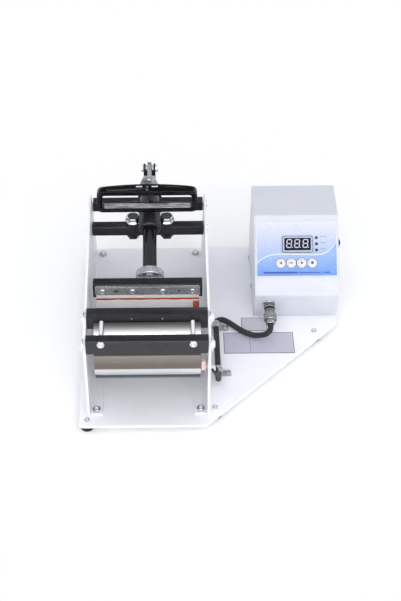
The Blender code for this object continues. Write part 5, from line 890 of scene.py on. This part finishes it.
eased("toggle_lever", 0.1)
link_start, link_end = LINK_FRONT - LINK_R, CRANK_AT + LINK_R
link_line = rounded([(link_start, -LINK_R), (link_end, -LINK_R), (link_end, LINK_R), (link_start, LINK_R)],
                    LINK_R - 0.02)
for side, hand in ((-1, "left"), (1, "right")):
    bar = moved(slab(link_line, *sorted((side * LINK_IN, side * LINK_OUT))), SIDEWAYS)
    boss = lathe([(0, LINK_IN + 0.2), (LINK_R + 0.5, LINK_IN + 0.2), (LINK_R + 0.5, BOSS_OUT - 0.6),
                  (LINK_R - 0.1, BOSS_OUT), (0, BOSS_OUT)])
    rivet = moved(domed_head(2.2, 0.7, 0.3), shift(z=BOSS_OUT))
    across = facing((0, CRANK_AT, 0), (side, 0, 0))
    keep(f"{hand}_link_bar", joined(bar, moved(boss, across)), "black_paint", "toggle_links", CLAMP,
         [f"{hand}_toggle_link"], 0.25)
    keep(f"{hand}_link_rivet", moved(rivet, across), "chrome_plate", "toggle_links", CLAMP)
eased("lever_pivot_bolt", 0.15)

# %% [markdown]
# ## Grip
#
# The loop grip is one gloss moulding: a flat ring, deep in the middle and thin at its ends,
# with a sunk top and two slots. The CAD copy is welded and its edges are just broken. The slots
# go right through the real grip, so daylight shows in them: a pale inlay stands for it. Inside
# the loop, a thin bright metal strip on the lower bar paints the reflection that the grip's gloss
# shows there.

# %% Grip
GRIP_TOP, SLOT_SIZE, SLOT_X, SLOT_Y, REFLECTION_STRIP_SIZE, REFLECTION_STRIP_Y = 170.7, (7.2, 2.0), 9.2, 222.0, (103.0, 8.6), 216.9

eased("loop_grip", 0.1)
heads("grip_screws", 1.5, 0.7, [shift(0, y, GRIP_TOP) for y in (216.1, 221.5)], body="handle")
slots = [slab(rectangle(*SLOT_SIZE, (side * SLOT_X, SLOT_Y), 0.6), 170.5, 170.75) for side in (-1, 1)]
keep("grip_slot_daylight", joined(*slots), "pale_plastic", "handle", finish="white_print")
# A bright strip on the lower bar paints the reflection in the grip's gloss.
strip = slab(rectangle(*REFLECTION_STRIP_SIZE, (0, REFLECTION_STRIP_Y), 1.0), 145.6, 146.15)
keep("grip_reflection_strip", strip, "black_gloss_plastic", "handle", edge=0.2, finish="grip_reflection_metal")

# %% [markdown]
# ## Control panel
#
# The label is a thin film and keeps its CAD solid, which has holes for the lamps and buttons.
# The bezel is a silver moulding. In its window stand three digits of seven bars each. Every bar
# is a flat six-cornered strip, leaning a little as on a real display.

# %% Control panel
LABEL_TOP, PRINT = 0.8, 0.06
LABEL_MIDDLE, LABEL_SIZE = (LABEL_LOW + LABEL_HIGH) / 2, LABEL_HIGH - LABEL_LOW
BEZEL_MIDDLE, BEZEL_SIZE, WINDOW_SIZE, BEZEL_TOP = (181.0, 62.8), (36.3, 19.4), (31.9, 15.0), 2.3
DIGIT_X, DIGIT_V, DIGIT_WIDE, DIGIT_TALL = (170.6, 180.2, 190.3), 58.9, 5.6, 9.6
BAR_WIDE, BAR_GAP, DIGIT_LEAN, DOT_R, DOT_ASIDE = 1.25, 0.3, 0.09, 0.6, 1.3


def dressed(node):
    """A CAD solid keeps its own mesh and takes the finish of its slot."""
    NODES[node].data.materials.clear()
    NODES[node].data.materials.append(FINISH[SLOT_OF[node]])


def ring(outside, inside, low, high):
    """A flat ring between two outlines that have as many points."""
    work = bmesh.new()
    loops = [[work.verts.new((x, y, z)) for x, y in outline]
             for outline, z in ((outside, low), (outside, high), (inside, high), (inside, low))]
    for first, second in zip(loops, loops[1:] + loops[:1]):
        for i in range(len(first)):
            work.faces.new((first[i - 1], first[i], second[i], second[i - 1]))
    bmesh.ops.recalc_face_normals(work, faces=work.faces)
    return work


def display_bar(start, end):
    """A six-cornered strip between two points of a digit."""
    start, end = Vector(start), Vector(end)
    along = (end - start).normalized() * (BAR_WIDE / 2)
    side = Vector((-along.y, along.x))
    start, end = start + along * BAR_GAP, end - along * BAR_GAP
    return [start, start + along + side, end - along + side, end, end - along - side, start + along - side]


def digit(x, v):
    low, middle, high = 0.0, DIGIT_TALL / 2, DIGIT_TALL
    left, right = -DIGIT_WIDE / 2, DIGIT_WIDE / 2
    ends = [((left, y), (right, y)) for y in (low, middle, high)]
    ends += [((edge, a), (edge, b)) for edge in (left, right) for a, b in ((low, middle), (middle, high))]
    outlines = [display_bar(*pair) for pair in ends] + [polygon(DOT_R, 12, centre=(right + DOT_ASIDE, low))]
    return [[(x + px + py * DIGIT_LEAN, v + py) for px, py in outline] for outline in outlines]


dressed("panel_label")
window = rectangle(*WINDOW_SIZE, BEZEL_MIDDLE, 0.6)
outline = ring(rectangle(37.7, 20.8, BEZEL_MIDDLE, 2.6), window, LABEL_TOP - 0.1, LABEL_TOP + 0.1)
keep("display_bezel_outline", outline, "label_film", place=PANEL, finish="dark_outline_print")
inner = rectangle(LABEL_SIZE.x - 1.6, LABEL_SIZE.y - 1.6, LABEL_MIDDLE, 0.6)
rim = ring(rectangle(*LABEL_SIZE, LABEL_MIDDLE, 1.0), inner, LABEL_TOP - 0.1, LABEL_TOP + 0.05)
keep("label_rim", rim, "label_film", place=PANEL, finish="white_print")
keep("display_bezel_ring", ring(rectangle(*BEZEL_SIZE, BEZEL_MIDDLE, 2.2), window, -3.0, BEZEL_TOP),
     "pale_plastic", place=PANEL, nodes=["display_bezel"], edge=0.3, finish="moulded_silver_plastic")

bars = [slab(outline, LABEL_TOP, LABEL_TOP + PRINT) for x in DIGIT_X for outline in digit(x, DIGIT_V)]
surface("unlit_display_bar", "#c9c5d2", 0.4)
print(len(bars), "bars and dots in", len(DIGIT_X), "digits")
keep("display_digits", joined(*bars), "display_window", place=PANEL, finish="unlit_display_bar")

# %% [markdown]
# ## Print, lamps and buttons
#
# Round each button the label has a white eight-cornered field with a dark outline. A bar along
# the label's foot and short marks beside the lamps stand where such panels carry words. The
# buttons are pale domes on their own bodies, with an arrow, a dash or a diamond printed on top.

# %% Print, lamps and buttons
BUTTON_X, BUTTON_PITCH, BUTTON_V, BUTTON_R, BUTTON_TOP = 160.4, 12.7, 39.8, 4.6, 2.6
FIELD_R, OUTLINE_R = 6.1, 6.8
LAMP_X, LAMP_LOW, LAMP_PITCH, LAMP_R, LAMP_FOOT = 204.0, 55.4, 7.6, 1.75, 1.2
CAP_PROFILE = [(0, BUTTON_TOP), (2.4, BUTTON_TOP - 0.05), (3.6, BUTTON_TOP - 0.3), (4.3, BUTTON_TOP - 0.8),
               (BUTTON_R, 1.2), (BUTTON_R, -1.7), (5.6, -1.7), (5.6, -2.9), (0, -2.9)]
GLYPHS = {"timer_button": [(-2.1, 0), (1.2, 2.0), (1.2, -2.0)], "down_button": rectangle(4.4, 1.3),
          "up_button": [(2.1, 0), (-1.2, -2.0), (-1.2, 2.0)], "set_button": polygon(2.2, 4)}
button_x = [BUTTON_X + i * BUTTON_PITCH for i in range(len(GLYPHS))]


def print_shapes(name, outlines, ink, low=LABEL_TOP, body="frame"):
    shapes = [slab(outline, low, low + PRINT) for outline in outlines]
    keep(name, joined(*shapes), "label_film", body, PANEL, finish=ink)


for name, radius, ink, low in (("button_outlines", OUTLINE_R, "dark_outline_print", LABEL_TOP),
                               ("button_fields", FIELD_R, "white_print", LABEL_TOP + PRINT)):
    print_shapes(name, [polygon(radius, 8, pi / 8, (x, BUTTON_V)) for x in button_x], ink, low)
foot_marks = [rectangle(26.0, 1.1, (195.0, 28.2)), rectangle(8.2, 1.1, (215.6, 28.2))]
print_shapes("foot_bar", [rectangle(41.0, 2.1, (160.0, 28.3))], "navy_print")
print_shapes("foot_marks", foot_marks, "navy_print")
print_shapes("lamp_marks", [rectangle(7.0, 0.9, (212.0, v)) for v in (57.0, 64.6, 72.2)], "grey_print")

surface("moulded_lamp_lens", "#232849", 0.15)
lens = lathe([(LAMP_R * cos(i * pi / 12), LAMP_FOOT + LAMP_R * 0.5 * sin(i * pi / 12)) for i in range(7)], 24)
lamp_places = [shift(LAMP_X, LAMP_LOW + i * LAMP_PITCH) for i in range(3)]
keep("lamp_lenses", repeated(lens, lamp_places), "label_film", place=PANEL, finish="moulded_lamp_lens")

for node, x in zip(GLYPHS, button_x):
    keep(node + "_cap", lathe(CAP_PROFILE, 40), "pale_plastic", node, PANEL @ shift(x, BUTTON_V), [node])
    glyph = [(x + px, BUTTON_V + py) for px, py in GLYPHS[node]]
    print_shapes(node + "_mark", [glyph], "dark_outline_print", BUTTON_TOP - 0.03, node)

# %% [markdown]
# ## Switch, inlet and inside
#
# The rocker and its frame are gloss mouldings with soft edges. What sits behind the panel and
# on the back keeps its CAD solid and takes the finish of what it is made of.

# %% Switch, inlet and inside
PIN_WIDE, PIN_TALL, PIN_START, PIN_END = 2.0, 4.0, 286.6, 295.5

for node in ("switch_frame", "power_rocker", "power_inlet", "fuse_holder"):
    eased(node, 0.3)
for node in ("display_module", "control_board", "power_transformer"):
    dressed(node)
pins = [block((x - PIN_WIDE / 2, PIN_START, z - PIN_TALL / 2), (x + PIN_WIDE / 2, PIN_END, z + PIN_TALL / 2))
        for x, z in ((151.0, 28.5), (165.0, 28.5), (158.0, 33.0))]
keep("inlet_pins", joined(*pins), "chrome_plate", edge=0.3)

# %% [markdown]
# ## Plug and socket
#
# The heater plugs in with a round metal connector: a flange on the box, a coupling ring with
# fine knurls, a waist, a hexagon-like nut and a tail with two small clamp screws. Grooves in
# the profile make the parts read as separate turnings, and dark rubber seals lie in them.

# %% Plug and socket
FLANGE = ((0, 6.3), (5.3, 6.3), (5.3, 2.6), (8.2, 2.6), (8.5, 2.3), (8.5, 0.3), (6.5, 0.3), (6.5, -9.0),
          (0, -9.0))
PLUG_PROFILE = (
    (5.6, 2.8), (6.6, 2.8), (7.0, 3.2), (7.0, 4.6), (6.4, 4.9), (6.4, 5.5), (7.0, 5.8), (7.0, 7.9),
    (6.2, 8.3), (6.2, 9.6), (5.7, 9.8), (5.7, 10.4), (6.3, 10.7), (6.3, 12.2), (5.7, 12.4), (5.7, 13.0),
    (6.3, 13.3), (6.3, 15.4), (7.3, 15.8), (8.0, 16.6), (8.0, 18.0), (7.5, 18.4), (7.5, 22.6), (8.0, 23.0),
    (8.0, 24.2), (7.2, 25.1), (5.6, 25.4), (5.4, 29.4), (4.9, 30.2), (0, 30.2))
SEALS = ((6.7, 4.9, 5.6), (6.45, 8.2, 9.5), (6.0, 9.8, 10.5), (6.0, 12.4, 13.1))
SEAL_THICK, RING_R, RING_DEEP, RING_TEETH = 0.3, 8.0, 0.8, 18

keep("connector_socket_turned", lathe(FLANGE), "chrome_plate", place=PLUG, nodes=["connector_socket"])
knurled = slab(toothed(RING_R, RING_DEEP, RING_TEETH), 18.2, 22.8)
clamp_screws = repeated(domed_head(1.4, 0.8), [facing((side * 5.2, 0, 27.6), (side, 0, 0)) for side in (-1, 1)])
keep("heater_plug_turned", joined(lathe(PLUG_PROFILE), knurled, clamp_screws), "chrome_plate", place=PLUG,
     nodes=["heater_plug"], finish="nickel_plating")
seals = [lathe([(r - SEAL_THICK, low), (r, low), (r, high), (r - SEAL_THICK, high), (r - SEAL_THICK, low)])
         for r, low, high in SEALS]
keep("heater_plug_seals", joined(*seals), "black_rubber", place=PLUG)

# %% [markdown]
# ## The heater's lead
#
# The sleeved lead leaves the plug, lies on the base plate, passes two clips and climbs to the
# right side plate. Its points are the ones that the CAD route was given, and a smooth curve runs
# through them. The sleeve's pattern needs a tube with its own map, so the curve is made a mesh.

# %% The heater's lead
LEAD_R, LEAD_Z, LEAD_EXIT, CLIP_WIDTH = 3.4, 5.6, 30.4, 9.0
CLIP_REAR, CLIP_FRONT = Vector((82.0, 155.5, LEAD_Z)), Vector((82.2, 80.0, LEAD_Z))
CORNER = ((146.2, 132.6, 19.6), (143.8, 131.6, 16), (140.4, 132.6, 12.2), (136.2, 135, 8.6),
          (131.8, 137.2, 6), (127.6, 138.9, 4.7), (119, 143.2, 4.2), (109.5, 150.3, 4.5), (99.9, 158.6, 5.5),
          (95, 161.9, 6.2), (90.3, 164.3, 6.4), (85.6, 163.9, 6.1))
CLIMB = ((82.1, 68.5, 6.4), (81.6, 61.5, 11), (80.9, 56, 21), (79.4, 50.5, 32), (77.4, 44, 43),
         (75.8, 36.5, 54))

to_press = PRESS.inverted() @ PLUG
exit_point = to_press @ Vector((0, 0, LEAD_EXIT))
heading = (to_press.to_3x3() @ Vector((0, 0, 1))).normalized()
half_clip = Vector((0, CLIP_WIDTH / 2, 0))
route = [exit_point, exit_point + heading * LEAD_R, *map(Vector, CORNER)]
route += [CLIP_REAR + half_clip, CLIP_REAR - half_clip]
route += [CLIP_REAR.lerp(CLIP_FRONT, share) for share in (0.35, 0.65)]
route += [CLIP_FRONT + half_clip, CLIP_FRONT - half_clip, *map(Vector, CLIMB)]


def smooth_path(points, steps=8):
    """Points of the smooth curve that passes through the given ones."""
    path = []
    for i in range(len(points) - 1):
        before, start, end = points[max(i - 1, 0)], points[i], points[i + 1]
        after = points[min(i + 2, len(points) - 1)]
        for step in range(steps):
            t = step / steps
            path.append(0.5 * (2 * start + (end - before) * t
                               + (2 * before - 5 * start + 4 * end - after) * t ** 2
                               + (3 * start - before - 3 * end + after) * t ** 3))
    return path + [points[-1]]


def tube_along(name, path, radius, slot, nodes):
    """A round cord along a path in millimetres, as a mesh with its own map."""
    curve = bpy.data.curves.new(name, "CURVE")
    curve.dimensions = "3D"
    curve.bevel_depth, curve.bevel_resolution, curve.use_fill_caps = radius * MM, 6, True
    spline = curve.splines.new("POLY")
    spline.points.add(len(path) - 1)
    for point, place in zip(spline.points, path):
        point.co = (*(PRESS @ place), 1)
    guide = add_object(name + "_guide", curve)
    bpy.context.view_layer.update()
    mesh = bpy.data.meshes.new_from_object(guide.evaluated_get(bpy.context.evaluated_depsgraph_get()))
    bpy.data.objects.remove(guide)
    mesh.name = name
    mesh.materials.clear()
    mesh.materials.append(FINISH[slot])
    mesh.shade_smooth()
    return hand_over(add_object(name, mesh), nodes=nodes)


path = smooth_path(route)
lead_length = sum((b - a).length for a, b in zip(path, path[1:]))
sleeve_finish(lead_length)
lead = tube_along("heater_lead_sleeve", path, LEAD_R, "braided_sleeve", ["heater_lead"])
print("lead is", round(lead_length), "mm long")

# %% [markdown]
# ## Bare wires
#
# Two insulated wires leave the sleeve's end side by side and go through the plate's hole to the
# silicone tab. A short heat-shrink collar ends the sleeve neatly.

# %% Bare wires
WIRE_R, WIRE_SPREAD, HOLE_Y, HOLE_Z, WIRE_END_X = 1.1, 1.25, 27.0, 69.0, 65.3
COLLAR = ((2.4, 1.3), (3.1, 1.1), (3.7, 0.2), (3.75, -6.0), (3.6, -6.4), (3.4, -6.4))

end, along = path[-1], (path[-1] - path[-2]).normalized()
outside = Vector((HALF_WIDTH + 4.5, HOLE_Y, HOLE_Z - WIRE_R))
inside = Vector((WIRE_END_X, middle_of("heater_lead_tab").y, HOLE_Z + WIRE_R))
for side, name in ((-1, "front_wire"), (1, "rear_wire")):
    offset = Vector((0, side * WIRE_SPREAD, 0))
    run = [end + offset, end + offset + along * LEAD_R, outside + offset, inside + offset]
    tube_along(name, smooth_path(run), WIRE_R, "wire_cover", ["heater_wires"])
keep("sleeve_collar", moved(lathe(COLLAR, 32), facing(end, along)), "black_rubber")

# %% [markdown]
# ## Cable clips
#
# A P-clip is one strip of clear nylon that goes round the cord and comes back flat on itself
# for a screw. The eye is a lathe ring laid on its side, and the tab is a rounded slab.

# %% Cable clips
CLIP_WALL, CLIP_SCREW_X, CLIP_TAB, CLIP_HEEL, CLIP_RISE = 1.3, 11.3, 15.4, 1.1, 0.3
EYE_IN, EYE_OUT = LEAD_R + 0.2, LEAD_R + 0.3 + CLIP_WALL

for node, centre in (("rear_cable_clip", CLIP_REAR), ("front_cable_clip", CLIP_FRONT)):
    wide = CLIP_WIDTH / 2
    eye = lathe([(EYE_IN, -wide), (EYE_OUT - 0.3, -wide), (EYE_OUT, 0.3 - wide), (EYE_OUT, wide - 0.3),
                 (EYE_OUT - 0.3, wide), (EYE_IN, wide), (EYE_IN, -wide)], 40)
    corners = [(-CLIP_HEEL, -wide), (CLIP_TAB, -wide), (CLIP_TAB, wide), (-CLIP_HEEL, wide)]
    tab = moved(slab(rounded(corners, 1.3), CLIP_RISE, CLIP_RISE + CLIP_WALL), shift(*centre.xy))
    keep(node + "_strap", joined(moved(eye, ALONG_Y, shift(*centre)), tab), "clear_nylon", nodes=[node])
    heads(node + "_screw", 3.2, 1.8, [shift(centre.x + CLIP_SCREW_X, centre.y, CLIP_RISE + CLIP_WALL)])

# %% [markdown]
# ## Bare plates on the base
#
# Two thin anodised plates are stuck to the base plate. They carry nothing here: only their
# rims and one dividing line, set on as thin raised strips.

# %% Bare plates
PLATE_FOOT, PLATE_RISE, RIM_WIDE, BRUSHED = 0.02, 0.35, 0.7, 0.5

tree, shader = surface("anodised_grey_plate", "#c3c3d2", 0.4, 0.1)
wire(tree, shader, {"Roughness": between(tree, noise(tree, BRUSHED, (40, 1, 1)), 0.28, 0.42)})
surface("anodised_dark_rim", "#6f6f7b", 0.36, 0.25)
surface("brushed_silver_plate", "#d3d4d9", 0.34, 0.15)


def bare_plate(name, centre, width, depth, radius, finish, dividers=()):
    keep(name, slab(rectangle(width, depth, centre, radius), PLATE_FOOT, PLATE_RISE), "zinc_plate",
         finish=finish, edge=0.08)
    x, y = centre
    strips = [rectangle(width, RIM_WIDE, (x, y + side * (depth - RIM_WIDE) / 2)) for side in (-1, 1)]
    strips += [rectangle(RIM_WIDE, depth, (x + side * (width - RIM_WIDE) / 2, y)) for side in (-1, 1)]
    strips += [rectangle(RIM_WIDE * 0.6, depth, (divider, y)) for divider in dividers]
    keep(name + "_rim", joined(*(slab(strip, PLATE_FOOT, PLATE_RISE + 0.05) for strip in strips)),
         "zinc_plate", finish="anodised_dark_rim")


bare_plate("large_bare_plate", (133.2, 130.2), 85.0, 35.0, 0.6, "anodised_grey_plate", (122.6,))
bare_plate("small_bare_plate", (129.2, 162.0), 31.5, 23.0, 2.0, "brushed_silver_plate")

# %% [markdown]
# ## Studio
#
# The floor is a pale disc that rises into a low wall all round, like a photographer's paper
# sweep. Near the press it is plain paper, which keeps the shadow. Further out it is seen as
# white, by the camera and in reflections. A big soft lamp and a narrow one stand high behind the
# camera, a third stands low and a weak one on the right, so shadows fall away from the picture.
# The room is bright, but dark in the part that flat tops mirror, as a black card would make it.
# That gives bolts and bars their contrast.

# %% Studio
FLOOR_R, WALL_TOP, SHADOW_NEAR, SHADOW_FAR = 3.0, 2.0, 0.14, 0.4
ROOM_BRIGHT, ROOM_DIM, DIM_INNER, DIM_OUTER = 1.0, 0.08, 0.96, 0.88
LAMPS_AIM = Vector((0, 0, 0.08))

tree, shader = surface("pale_paper_sweep", "#fdfdfe", 0.9)
middle = add_node(tree, "VectorMath", {0: coords(tree)}, operation="LENGTH").outputs["Value"]
away = between(tree, middle, 0, 1, SHADOW_NEAR, SHADOW_FAR)
rays = add_node(tree, "LightPath").outputs
seen = calculate(tree, "MAXIMUM", rays["Is Camera Ray"], rays["Is Glossy Ray"])
seen = calculate(tree, "MAXIMUM", seen, rays["Is Transmission Ray"])
white = add_node(tree, "Emission", {"Color": (1, 1, 1, 1), "Strength": 1.0})
paper = add_node(tree, "MixShader", {0: calculate(tree, "MULTIPLY", away, seen), 1: shader.outputs[0],
                                     2: white.outputs[0]})
tree.links.new(paper.outputs[0], tree.nodes["Material Output"].inputs[0])

sweep = lathe([(0, 0), (0.5, 0), (1.0, 0), (FLOOR_R - 0.8, 0), (FLOOR_R - 0.3, 0.12),
               (FLOOR_R - 0.06, 0.45), (FLOOR_R, 0.9), (FLOOR_R, WALL_TOP)], 96)
for face in sweep.faces:
    if face.calc_center_median().dot(face.normal) > 0 or face.normal.z < 0:
        face.normal_flip()
mesh = bpy.data.meshes.new("paper_sweep")
sweep.to_mesh(mesh)
sweep.free()
mesh.materials.append(FINISH["pale_paper_sweep"])
mesh.shade_smooth()
add_object("paper_sweep", mesh)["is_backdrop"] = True

card_toward = Vector((0.0, cos(CAMERA_DIP), sin(CAMERA_DIP)))
world = bpy.data.worlds.new("studio_room")
bpy.context.scene.world = world
world.use_nodes = True
room, sky = world.node_tree, world.node_tree.nodes["Background"].inputs
incoming = add_node(room, "NewGeometry").outputs["Incoming"]
toward = add_node(room, "VectorMath", {0: incoming, 1: -card_toward}, operation="DOT_PRODUCT").outputs["Value"]
sky["Color"].default_value = linear("#f1f3f8")
room.links.new(between(room, toward, ROOM_BRIGHT, ROOM_DIM, DIM_OUTER, DIM_INNER), sky["Strength"])

for name, location, size, power in (("key_softbox", (-0.05, -1.3, 1.88), (2.6, 1.2), 4.5),
                                    ("strip_softbox", (-0.05, -1.45, 1.42), (2.2, 0.16), 10.5),
                                    ("low_softbox", (0.25, -1.9, 0.85), (2.4, 0.8), 7),
                                    ("right_softbox", (1.6, -0.1, 1.0), (0.5, 1.2), 2.5)):
    lamp = bpy.data.lights.new(name, "AREA")
    lamp.shape, lamp.energy = "RECTANGLE", power
    lamp.size, lamp.size_y = size
    aim = (LAMPS_AIM - Vector(location)).to_track_quat("-Z", "Y").to_matrix().to_4x4()
    add_object(name, lamp).matrix_world = Matrix.Translation(location) @ aim
print("studio with", len(bpy.data.lights), "lamps")

# %% [markdown]
# ## Sizes
#
# The box round everything that the scene shows, the backdrop left out, is found at the end.

# %% Sizes
low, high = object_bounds()
